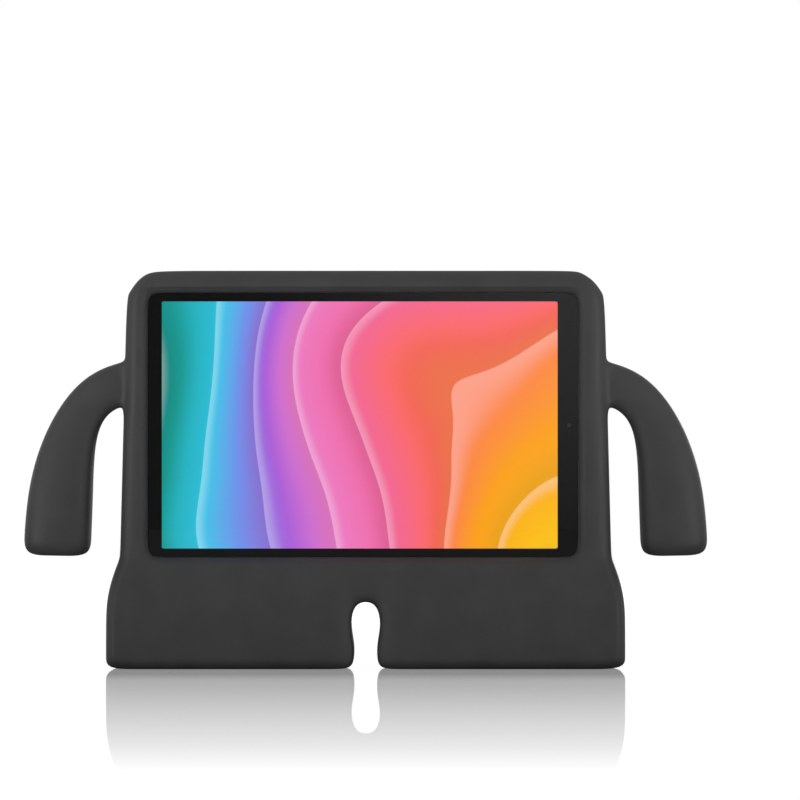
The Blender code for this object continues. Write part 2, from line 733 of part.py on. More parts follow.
def make_display_panel():
    """Screen under the glass, its lit face split into fields of colour."""
    centre = (TABLET_LEFT + BEZEL_LEFT + SCREEN_WIDTH / 2, TABLET_MID_Z)
    outline = rounded_outline(SCREEN_WIDTH, SCREEN_HEIGHT, SCREEN_CORNER, steps=1)
    built = prism(outline, PANEL_Y, PANEL_Y + PANEL_THICK, facing_front(*centre))
    slope = Vector(SCREEN_SLOPE).normalized()
    borders = len(SCREEN_FIELDS) - 1
    start = -SCREEN_WIDTH * SCREEN_FIELD_SHARE * borders / 2
    cuts = [start + SCREEN_WIDTH * SCREEN_FIELD_SHARE * index for index in range(borders)]
    middle = Vector((centre[0], PANEL_Y, centre[1]))
    for place in cuts:
        front = [face for face in built.faces if face.normal.y < -0.5]
        edges = {edge for face in front for edge in face.edges}
        bmesh.ops.bisect_plane(
            built, geom=front + list(edges), plane_co=middle + slope * place, plane_no=slope
        )
    for face in built.faces:
        if face.normal.y < -0.5:
            offset = (face.calc_center_median() - middle).dot(slope)
            face.material_index = 1 + sum(offset > place for place in cuts)
    panel = add_object("display_panel", built, "black_plastic")
    for field in SCREEN_FIELDS:
        panel.data.materials.append(material(field))
    return panel


def make_mid_frame():
    """Plate that carries the screen on one face and the battery and board on the other."""
    inside = 2 * (SHELL_WALL + LAYER_GAP)
    size = (TABLET_WIDTH - inside, TABLET_HEIGHT - inside)
    frame = slab(
        "mid_frame",
        "aluminium",
        tablet_centre(),
        size,
        MID_FRAME_Y,
        MID_FRAME_Y + MID_FRAME_THICK,
        TABLET_CORNER - SHELL_WALL - LAYER_GAP,
    )
    row = key_row_length() + 2 * (KEY_FLANGE + KEY_GAP)
    bay = prism(
        rounded_outline(row, 2 * key_board_drop(), KEY_GAP, steps=1),
        MID_FRAME_Y - MID_FRAME_THICK,
        MID_FRAME_Y + 2 * MID_FRAME_THICK,
        facing_front(key_row_middle(), TABLET_TOP),
    )
    cut(frame, add_object("key_bay_cutter", bay, "aluminium"))
    return frame


def key_drop():
    """How far below the tablet's top edge a key's flange reaches, behind the shell's wall."""
    return SHELL_WALL + KEY_GAP + KEY_FLANGE_THICK


def key_board_drop():
    """How far below the tablet's top edge the room for the keys and their board reaches."""
    return key_drop() + KEY_TRAVEL + KEY_GAP + KEY_BOARD_THICK + KEY_GAP


def key_slot_in_shell(name, middle_x, length):
    """Slot through the shell's upper wall, a clearance wider than the key in it."""
    built = prism(
        pill(length + 2 * KEY_GAP, KEY_WIDTH + 2 * KEY_GAP),
        TABLET_TOP - 2 * SHELL_WALL,
        TABLET_TOP + SHELL_WALL,
        facing_up(middle_x, TABLET_MID_Y),
    )
    return add_object(name, built, "aluminium")


def make_back_shell():
    """Open tray: its walls come up behind the glass, and everything else lies in it."""
    centre = tablet_centre()
    outline = rounded_outline(TABLET_WIDTH, TABLET_HEIGHT, TABLET_CORNER)
    front = GLASS_Y + GLASS_THICK + LAYER_GAP
    built = prism(outline, front, TABLET_BACK_Y, facing_front(*centre))
    mouth = min(built.faces, key=lambda face: face.calc_center_median().y)
    bmesh.ops.inset_region(built, faces=[mouth], thickness=SHELL_WALL)
    floor = bmesh.ops.extrude_face_region(built, geom=[mouth])["geom"]
    inner = [part for part in floor if isinstance(part, bmesh.types.BMVert)]
    bmesh.ops.translate(built, verts=inner, vec=(0.0, SHELL_Y - front, 0.0))
    bmesh.ops.delete(built, geom=[mouth], context="FACES")
    rim = [
        edge
        for edge in built.edges
        if all(abs(vert.co.y - TABLET_BACK_Y) < SAME_PLACE for vert in edge.verts)
    ]
    bmesh.ops.bevel(built, geom=rim, offset=SHELL_BACK * 0.8, segments=2, affect="EDGES", profile=0.5)
    bmesh.ops.recalc_face_normals(built, faces=built.faces)
    shell = add_object("back_shell", built, "aluminium")
    lens_x, lens_z = lens_place()
    reach = LENS_RING_SIZE + 2 * LENS_GAP
    recess = prism(
        rounded_outline(reach, reach, LENS_RING_CORNER + LENS_GAP, steps=4),
        TABLET_BACK_Y - LENS_RECESS,
        TABLET_BACK_Y + SHELL_BACK,
        facing_front(lens_x, lens_z),
    )
    cut(shell, add_object("lens_recess_in_shell", recess, "aluminium"))
    barrel_hole = prism(
        disc(LENS_BARREL + LENS_GAP),
        SHELL_Y - SHELL_BACK,
        TABLET_BACK_Y,
        facing_front(lens_x, lens_z),
    )
    cut(shell, add_object("barrel_hole_in_shell", barrel_hole, "aluminium"))
    port_hole = prism(
        pill(PORT_LENGTH + 2 * LENS_GAP, PORT_HEIGHT + 2 * LENS_GAP),
        TABLET_RIGHT - 2 * SHELL_WALL,
        TABLET_RIGHT + SHELL_WALL,
        facing_side(PORT_Y, TABLET_MID_Z),
    )
    cut(shell, add_object("port_hole_in_shell", port_hole, "aluminium"))
    for name, middle_x, length in key_places():
        cut(shell, key_slot_in_shell(name + "_slot", middle_x, length))
    return shell


def key_places():
    """Name, middle and length of each side key, from left to right along the top edge."""
    start = TABLET_LEFT + KEY_ROW_START
    power = ("power_key", start + POWER_KEY_LENGTH / 2, POWER_KEY_LENGTH)
    volume_start = start + POWER_KEY_LENGTH + KEY_SPACING
    volume = ("volume_key", volume_start + VOLUME_KEY_LENGTH / 2, VOLUME_KEY_LENGTH)
    return power, volume


def make_key(name, middle_x, length):
    """Side key a little proud of the shell, kept in by a flange behind the wall.

    Its origin is under the middle of its flange, where it presses on its switch.
    """
    flange = pill(length + 2 * KEY_FLANGE, KEY_WIDTH + 2 * KEY_FLANGE)
    built = prism(flange, 0.0, KEY_FLANGE_THICK, facing_up(0.0, 0.0))
    top = max(built.faces, key=lambda face: face.calc_center_median().z)
    bmesh.ops.inset_region(built, faces=[top], thickness=KEY_FLANGE)
    moved = bmesh.ops.extrude_face_region(built, geom=[top])["geom"]
    stem = [part for part in moved if isinstance(part, bmesh.types.BMVert)]
    height = key_drop() + KEY_PROUD
    bmesh.ops.translate(built, verts=stem, vec=(0.0, 0.0, height - KEY_FLANGE_THICK))
    bmesh.ops.delete(built, geom=[top], context="FACES")
    rim = [edge for edge in built.edges if all(vert.co.z > height - SAME_PLACE for vert in edge.verts)]
    bmesh.ops.bevel(built, geom=rim, offset=KEY_PROUD * 0.5, segments=1, affect="EDGES")
    bmesh.ops.recalc_face_normals(built, faces=built.faces)
    key = add_object(name, built, "aluminium")
    key.location = (middle_x, TABLET_MID_Y, TABLET_TOP - key_drop())
    return key


def make_key_board():
    """Strip that carries the switches under both keys."""
    top = TABLET_TOP - key_board_drop() + KEY_GAP + KEY_BOARD_THICK
    outline = rounded_outline(key_row_length(), KEY_WIDTH, KEY_WIDTH / 4, steps=2)
    place = facing_up(key_row_middle(), TABLET_MID_Y)
    return add_object("key_board", prism(outline, top - KEY_BOARD_THICK, top, place), "circuit_board")


def make_battery():
    left = TABLET_LEFT + BATTERY_LEFT_MARGIN
    return slab(
        "battery",
        "battery_wrap",
        (left + BATTERY_WIDTH / 2, TABLET_MID_Z),
        (BATTERY_WIDTH, BAY_HEIGHT),
        BATTERY_Y,
        BATTERY_Y + BATTERY_THICK,
        radius=0.0015,
        round_edge=0.0005,
        steps=2,
    )


def make_board(name, centre, size, shields):
    """Circuit board with its pressed shields; each shield is a centre offset and a size."""
    front, back = BATTERY_Y, BATTERY_Y + BOARD_THICK
    board = slab(name, "circuit_board", centre, size, front, back, BOARD_CORNER, steps=1)
    overlap = BOARD_THICK / 4
    for index, (offset, shield_size) in enumerate(shields):
        shield = slab(
            f"{name}_shield_{index}",
            "steel",
            (centre[0] + offset[0] * size[0], centre[1] + offset[1] * size[1]),
            (shield_size[0] * size[0], shield_size[1] * size[1]),
            back - overlap,
            back + SHIELD_THICK,
            BOARD_CORNER,
            steps=1,
        )
        join(board, shield)
    return board


def make_main_board():
    centre = (TABLET_LEFT + SHELL_WALL + BAY_GAP + BOARD_WIDTH / 2, TABLET_MID_Z)
    return make_board("main_board", centre, (BOARD_WIDTH, BAY_HEIGHT), MAIN_SHIELDS)


def port_inner_end():
    return TABLET_RIGHT - PORT_WALL - PORT_DEEP


def make_port_board():
    centre = (port_inner_end() - LAYER_GAP - PORT_BOARD_WIDTH / 2, TABLET_MID_Z)
    return make_board("port_board", centre, (PORT_BOARD_WIDTH, PORT_BOARD_HEIGHT), PORT_SHIELDS)


def make_usb_socket():
    """Steel can with its mouth in the shell's side wall and its tongue standing inside."""
    outline = rounded_outline(PORT_LENGTH, PORT_HEIGHT, PORT_HEIGHT * 0.45, steps=4)
    inner = port_inner_end()
    built = prism(outline, inner, inner + PORT_DEEP, facing_side(PORT_Y, TABLET_MID_Z))
    mouth = max(built.faces, key=lambda face: face.calc_center_median().x)
    steps = ((PORT_WALL, -PORT_DEEP * 0.85), (PORT_HEIGHT * 0.25, PORT_DEEP * 0.65))
    for inset, reach in steps:
        bmesh.ops.inset_region(built, faces=[mouth], thickness=inset)
        moved = bmesh.ops.extrude_face_region(built, geom=[mouth])["geom"]
        verts = [part for part in moved if isinstance(part, bmesh.types.BMVert)]
        bmesh.ops.translate(built, verts=verts, vec=(reach, 0.0, 0.0))
        bmesh.ops.delete(built, geom=[mouth], context="FACES")
        mouth = next(part for part in moved if isinstance(part, bmesh.types.BMFace))
    bmesh.ops.recalc_face_normals(built, faces=built.faces)
    return add_object("usb_socket", built, "steel")


def make_speaker(name, side):
    """Speaker box beside the socket, above or below it."""
    x = TABLET_RIGHT - SHELL_WALL - BAY_GAP - SPEAKER_WIDTH / 2
    reach = TABLET_HEIGHT / 2 - TABLET_CORNER - SPEAKER_LENGTH / 2
    return slab(
        name,
        "black_plastic",
        (x, TABLET_MID_Z + side * reach),
        (SPEAKER_WIDTH, SPEAKER_LENGTH),
        BATTERY_Y,
        BATTERY_Y + SPEAKER_THICK,
        radius=0.0015,
        round_edge=0.0003,
        steps=2,
    )


def make_rear_camera():
    """Plate in the shell's recess, with a seat for its lens and a barrel through the shell."""
    x, z = lens_place()
    proud = TABLET_BACK_Y + LENS_RING_PROUD
    under = TABLET_BACK_Y - LENS_RECESS + LENS_GAP
    outline = rounded_outline(LENS_RING_SIZE, LENS_RING_SIZE, LENS_RING_CORNER, steps=4)
    built = prism(outline, under, proud, facing_front(x, z))
    rim = [edge for edge in built.edges if all(vert.co.y > proud - SAME_PLACE for vert in edge.verts)]
    bmesh.ops.bevel(built, geom=rim, offset=LENS_RING_PROUD * 0.5, segments=2, affect="EDGES")
    camera = add_object("rear_camera", built, "black_plastic")
    overlap = (proud - LENS_THICK - LENS_GAP - under) / 2
    barrel = prism(disc(LENS_BARREL), BATTERY_Y, under + overlap, facing_front(x, z))
    join(camera, add_object("lens_barrel", barrel, "black_plastic"))
    seat = LENS_RADIUS + LENS_GAP
    seat_cut = prism(
        disc(seat),
        proud - LENS_THICK - LENS_GAP,
        proud + LENS_THICK,
        facing_front(x, z),
    )
    cut(camera, add_object("lens_seat_cutter", seat_cut, "black_plastic"))
    return camera


def make_rear_lens():
    x, z = lens_place()
    proud = TABLET_BACK_Y + LENS_RING_PROUD
    lens = prism(disc(LENS_RADIUS), proud - LENS_THICK, proud, facing_front(x, z))
    return add_object("rear_lens", lens, "lens")


def make_front_camera():
    """Small camera behind the glass, in the border beside the screen."""
    reach = BEZEL_RIGHT - FRONT_CAMERA_GAP - FRONT_CAMERA_RADIUS
    place = facing_front(TABLET_RIGHT - reach, TABLET_MID_Z)
    camera = prism(disc(FRONT_CAMERA_RADIUS), PANEL_Y, PANEL_Y + PANEL_THICK, place)
    return add_object("front_camera", camera, "lens")


def main():
    clear_scene()
    make_case()
    make_cover_glass()
    make_display_panel()
    make_mid_frame()
    make_back_shell()
    for name, middle_x, length in key_places():
        make_key(name, middle_x, length)
    make_key_board()
    make_battery()
    make_main_board()
    make_port_board()
    make_usb_socket()
    make_speaker("upper_speaker", 1)
    make_speaker("lower_speaker", -1)
    make_rear_camera()
    make_rear_lens()
    make_front_camera()


main()
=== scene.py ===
"""Foam tablet case with two arm handles and two feet, with the tablet that it holds.

Metres, +Z up, the screen towards -Y. The foam moulding is drawn as a cage of blocks, smoothed and
opened by a node tree. The tablet's own nodes are finished with materials and small pieces.
"""

import math
from functools import partial

import bmesh
import bpy
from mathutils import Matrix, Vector


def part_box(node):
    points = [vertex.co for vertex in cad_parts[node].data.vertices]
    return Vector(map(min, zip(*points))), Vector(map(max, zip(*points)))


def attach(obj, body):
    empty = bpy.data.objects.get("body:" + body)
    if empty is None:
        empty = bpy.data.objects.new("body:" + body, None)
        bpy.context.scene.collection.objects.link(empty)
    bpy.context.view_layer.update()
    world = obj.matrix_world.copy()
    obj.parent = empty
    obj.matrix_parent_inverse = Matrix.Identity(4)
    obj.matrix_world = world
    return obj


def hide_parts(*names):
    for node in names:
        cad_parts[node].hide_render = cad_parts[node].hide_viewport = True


bl_info = {
    "name": "Foam tablet case",
    "version": (1, 0, 0),
    "blender": (4, 5, 0),
    "location": "3D View > Sidebar > Tablet case",
    "description": "Builds a foam tablet case with its tablet, and a plain studio around it",
    "category": "Object",
}

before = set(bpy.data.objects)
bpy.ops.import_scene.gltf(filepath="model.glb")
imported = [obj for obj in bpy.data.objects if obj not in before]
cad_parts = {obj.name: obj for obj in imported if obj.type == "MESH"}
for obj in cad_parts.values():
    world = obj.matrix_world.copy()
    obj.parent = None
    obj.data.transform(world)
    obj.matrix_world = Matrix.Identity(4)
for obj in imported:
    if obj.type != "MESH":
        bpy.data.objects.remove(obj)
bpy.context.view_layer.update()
HOLDER = "case_and_tablet"

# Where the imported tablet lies
SHELL_LOW, SHELL_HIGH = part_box("back_shell")
GLASS_LOW, GLASS_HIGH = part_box("cover_glass")
PANEL_LOW, PANEL_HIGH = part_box("display_panel")
CAMERA_LOW, CAMERA_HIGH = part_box("rear_camera")
LENS_LOW, LENS_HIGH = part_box("rear_lens")
SOCKET_LOW, SOCKET_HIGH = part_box("usb_socket")
FRONT_LENS_LOW, FRONT_LENS_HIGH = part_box("front_camera")
KEYS_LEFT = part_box("power_key")[0].x
KEYS_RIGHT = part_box("volume_key")[1].x
SHELL_MIDDLE = (SHELL_LOW + SHELL_HIGH) / 2
TABLET_MIDDLE_Y = (GLASS_LOW.y + SHELL_HIGH.y) / 2
SCREEN_MIDDLE = (PANEL_LOW + PANEL_HIGH) / 2
CASE_GAP = 0.0003
WHITE = (1.0, 1.0, 1.0, 1.0)
BLACK = (0.0, 0.0, 0.0, 1.0)


def linear(hex_colour):
    """Linear RGBA of an sRGB hex colour."""
    channels = [int(hex_colour[place : place + 2], 16) / 255 for place in (1, 3, 5)]
    return (*(c / 12.92 if c <= 0.04045 else ((c + 0.055) / 1.055) ** 2.4 for c in channels), 1.0)


def amount(name, description, default, **kind):
    """Setting for a number."""
    return bpy.props.FloatProperty(name=name, description=description, default=default, **kind)


def length(name, description, default):
    """Setting for a size in metres."""
    return amount(name, description, default, min=0.0, unit="LENGTH", precision=5)


def colour(name, description, hex_colour):
    """Setting for a colour, given as sRGB hex."""
    return bpy.props.FloatVectorProperty(
        name=name,
        description=description,
        default=linear(hex_colour),
        size=4,
        min=0.0,
        max=1.0,
        subtype="COLOR",
    )


# Settings


class FoamCaseSettings(bpy.types.PropertyGroup):
    """Sizes and colour of the foam moulding."""

    lip_side: length("Lip at the sides", "How far the lip reaches over the glass, left and right", 0.0046)
    lip_top: length("Lip above and below", "How far the lip reaches over the glass, up and down", 0.0022)
    lip_thick: length("Lip thickness", "From the front face to the glass", 0.0057)
    lip_round: length("Lip rounding", "Depth of the slope round the window", 0.0022)
    lip_slope: length("Lip slope", "Width of the slope round the window", 0.0038)
    back_wall: length("Back wall", "Foam behind the tablet", 0.0072)
    rim_side: length("Side wall", "Foam beside the tablet", 0.0078)
    rim_top: length("Top wall", "Foam above the tablet", 0.0096)
    corner: length("Top corners", "Radius of the upper corners", 0.0185)
    edge_round: length("Edge rounding", "Rounding of the outer edges", 0.0038)
    side_spread: length("Side slope", "How much each side widens on its way down", 0.0040)
    foot_spread: length("Foot spread", "How far each foot flares past the side", 0.0073)
    foot_depth: length("Foot depth", "Front to back over the soles", 0.0420)
    notch_neck: length("Notch width", "Width of the gap between the feet", 0.0124)
    notch_height: length("Notch height", "Height of the gap between the feet", 0.0365)
    arm_root: length("Arm at the shoulder", "Width of the arm where it leaves the side", 0.0234)
    arm_hand: length("Arm at the hand", "Width of the arm at its end", 0.0362)
    arm_root_depth: length("Shoulder depth", "Front to back at the shoulder", 0.0150)
    arm_hand_depth: length("Hand depth", "Front to back at the hand", 0.0300)
    arm_reach: length("Arm reach", "From the side to the middle of the hand", 0.0374)
    arm_lift: length("Arm lift", "From the floor to the end of the hand", 0.0618)
    camera_hole: length("Camera hole", "Width of the hole at the tablet", 0.0165)
    camera_mouth: length("Camera hole mouth", "Width of the hole at the back face", 0.0220)
    smoothing: bpy.props.IntProperty(
        name="Smoothing", description="Subdivision levels of the cage", default=2, min=1, max=3
    )
    foam: colour("Foam", "Colour of the moulded foam", "#3a3a3b")


class TabletSettings(bpy.types.PropertyGroup):
    """Colours of the tablet and of the picture on its screen."""

    shell: colour("Shell", "Anodised back shell and keys", "#c2c8d2")
    border: colour("Border", "Print behind the edge of the glass", "#050506")
    contacts: bpy.props.IntProperty(
        name="Contacts", description="Contacts on the socket's tongue", default=12, min=2, max=24
    )
    border_corner: length("Window corner", "Radius of the clear window's corners", 0.0008)
    lens_ring: length("Lens ring", "Width of the ring around the rear lens", 0.0006)


class StudioSettings(bpy.types.PropertyGroup):
    """Camera, light and floor."""

    camera_distance: length("Camera distance", "From the camera to the middle of the case", 3.0)
    view_width: length("View width", "Width of the view at the case", 0.4394)
    view_x: amount("View middle", "Middle of the view, across", 0.0188, unit="LENGTH")
    view_z: length("View height", "Middle of the view, up", 0.1472)
    key_power: amount("Key light", "Power of the main lamp", 0.49, unit="POWER")
    fill_power: amount("Fill light", "Power of the second lamp", 0.47, unit="POWER")
    back_power: amount("Back light", "Power of the lamp behind", 4.2, unit="POWER")
    ambient: amount("Ambient", "Even light from all round", 0.28, subtype="FACTOR")
    floor: colour("Floor", "Colour of the floor", "#b0b0b0")
    floor_glow: amount("Floor glow", "Light that the floor adds for the camera", 0.88)


# Helpers for nodes and meshes


def add_node(tree, kind, inputs=(), **settings):
    """One new node with its settings and its inputs, given by name or in order.

    Each input is a value, a socket to link from, a node that stands for its first output in use,
    or a list of these where one socket takes many.
    """
    node = tree.nodes.new(kind)
    for name, value in settings.items():
        setattr(node, name, value)
    for name, value in inputs.items() if isinstance(inputs, dict) else enumerate(inputs):
        for source in value if isinstance(value, list) else [value]:
            if isinstance(source, bpy.types.Node):
                source = next(socket for socket in source.outputs if socket.enabled)
            if isinstance(source, bpy.types.NodeSocket):
                tree.links.new(source, node.inputs[name])
            else:
                node.inputs[name].default_value = source
    return node


def new_material(name):
    """Empty material, a function that adds nodes to it, and its object coordinates."""
    made = bpy.data.materials.new(name)
    made.use_nodes = True
    made.node_tree.nodes.clear()
    add = partial(add_node, made.node_tree)
    return made, add, add("ShaderNodeTexCoord").outputs["Object"]


def finish(name, body, kind_slot, *nodes):
    """Give a finished piece its body and hide the nodes that it stands for; kind_slot is not used."""
    piece = bpy.data.objects[name]
    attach(piece, body)
    if nodes:
        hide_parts(*nodes)
    return piece


def link_mesh(name, mesh):
    """New object around a mesh, in the scene."""
    piece = bpy.data.objects.new(name, mesh)
    bpy.context.scene.collection.objects.link(piece)
    return piece


def link_bmesh(name, built):
    """New object from an edit mesh, in the scene."""
    mesh = bpy.data.meshes.new(name)
    built.to_mesh(mesh)
    built.free()
    return link_mesh(name, mesh)


def run_tree(name, source, tree, values, sharp=40.0):
    """Run a node tree on the source object and keep the result as a plain mesh of that name."""
    modifier = source.modifiers.new(tree.name, "NODES")
    modifier.node_group = tree
    sockets = {
        item.name: item.identifier
        for item in tree.interface.items_tree
        if item.item_type == "SOCKET" and item.in_out == "INPUT"
    }
    for label, value in values.items():
        modifier[sockets[label]] = value
    graph = bpy.context.evaluated_depsgraph_get()
    mesh = bpy.data.meshes.new_from_object(source.evaluated_get(graph), depsgraph=graph)
    bpy.data.objects.remove(source)
    mesh.name = name
    mesh.shade_smooth()
    mesh.set_sharp_from_angle(angle=math.radians(sharp))
    return link_mesh(name, mesh)


def new_tree(name, inputs):
    """Empty geometry tree, a function that adds nodes to it, and its inputs by their labels."""
    tree = bpy.data.node_groups.new(name, "GeometryNodeTree")
    for label, kind in inputs.items():
        tree.interface.new_socket(label, in_out="INPUT", socket_type="NodeSocket" + kind)
    tree.interface.new_socket("Mesh", in_out="OUTPUT", socket_type="NodeSocketGeometry")
    add = partial(add_node, tree)
    return tree, add, add("NodeGroupInput").outputs


def end_tree(add, geometry, finish_material):
    """Close a tree: instances made real, and the material set."""
    real = add("GeometryNodeRealizeInstances", (geometry,))
    painted = add("GeometryNodeSetMaterial", {"Geometry": real, "Material": finish_material})
    add("NodeGroupOutput", (painted,))


def skin_rings(name, rings, closed=False):
    """Piece over rings of points: its ends capped, or its last ring joined to its first."""
    built = bmesh.new()
    rows = [[built.verts.new(point) for point in ring] for ring in rings]
    for before, after in zip(rows, rows[1:] + (rows[:1] if closed else [])):
        for index in range(len(before)):
            following = (index + 1) % len(before)
            built.faces.new((before[index], before[following], after[following], after[index]))
    for row in () if closed else (rows[0], rows[-1]):
        built.faces.new(row)
    bmesh.ops.recalc_face_normals(built, faces=built.faces)
    return link_bmesh(name, built)


def lathe(name, profile, centre, sides, closed=False):
    """Turned piece: a profile of radius and depth about an axis along Y."""
    turns = [2 * math.pi * index / sides for index in range(sides)]
    rings = []
    for radius, depth in profile:
        ring = [Vector((radius * math.cos(turn), depth, radius * math.sin(turn))) for turn in turns]
        rings.append([Vector(centre) + offset for offset in ring])
    return skin_rings(name, rings, closed)


def flared_slot(name, size, centre, reach, flare, to_world):
    """Cutter with a pill outline that opens out by flare where it meets the face, for a soft rim."""
    long, wide = size
    near, face, far = reach
    levels = [(near, 0.0)]
    for step in range(SLOT_RIM_STEPS + 1):
        angle = math.radians(90 * step / SLOT_RIM_STEPS)
        levels.append((face - flare * (1 - math.sin(angle)), flare * (1 - math.cos(angle))))
    levels.append((far, flare))
    rings = []
    for depth, grow in levels:
        ring = []
        for side in (1, -1):
            for step in range(SLOT_END_STEPS + 1):
                angle = math.radians(180 * step / SLOT_END_STEPS - 90 * side)
                u = side * (long - wide) / 2 + (wide / 2 + grow) * math.cos(angle)
                v = (wide / 2 + grow) * math.sin(angle)
                ring.append(Vector(centre) + to_world(u, v, depth))
        rings.append(ring)
    return skin_rings(name, rings)


# Foam moulding

NOTCH_SHARES = (0.19, 0.38, 0.68)
NOTCH_FOOT = 0.0144
NOTCH_BULB = 0.0172
NOTCH_CROWN = 0.0063
NOTCH_CROWN_RISE = 0.0008
NOTCH_CORNER_DROP = 0.0014
NOTCH_ROUND = 0.0042
NOTCH_DIP = 0.0018
NOTCH_BLEND = 0.0100
WINDOW_EASE = 0.0110
POCKET_EASE = 0.0010
DEPTH_SPREAD = 0.0015
FOOT_FLARE = 0.0280
FOOT_DEPTH_FLARE = 0.0470
SOLE_ROUND = 0.0034
SOLE_FLAT = 0.0260
SOLE_CORNER = 0.0048
SHOULDER_DROP = 0.0500
ROOT_INNER_SHARE = 0.3
ARM_TIP_ROUND = 0.0029
ARM_BLEND = 0.0062
SHOULDER_BLEND = 0.0032
CROOK_DROP = 0.0050
ROOT_PINCH = 0.78
ARM_BEND = ((0.0, 0.0), (0.74, 0.05), (0.97, 0.36), (1.0, 1.0))
ARM_SWELL_START = 0.3
ARM_SWELL_END = 0.9
ARM_ROOT_SQUARENESS = 2.3
ARM_HAND_SQUARENESS = 3.2
ARM_RING_SWELL = 1.045
ARM_RINGS = 8
FIRST_RING = 0.065
LAST_RING = 0.935
CAMERA_HOLE_ROUND = 0.0007
SLOT_ROUND = 0.0010
KEY_SLOT = (0.0560, 0.0058)
PORT_SLOT = (0.0170, 0.0048)
PORT_SLOT_PAST = 0.0012
SLOT_RIM_STEPS = 4
SLOT_END_STEPS = 12
CAMERA_HOLE_SIDES = 72
CAMERA_HOLE_STEPS = 5


def within(index, lines):
    """Whether the block after this line lies between the two lines."""
    return lines[0] <= index < lines[1]


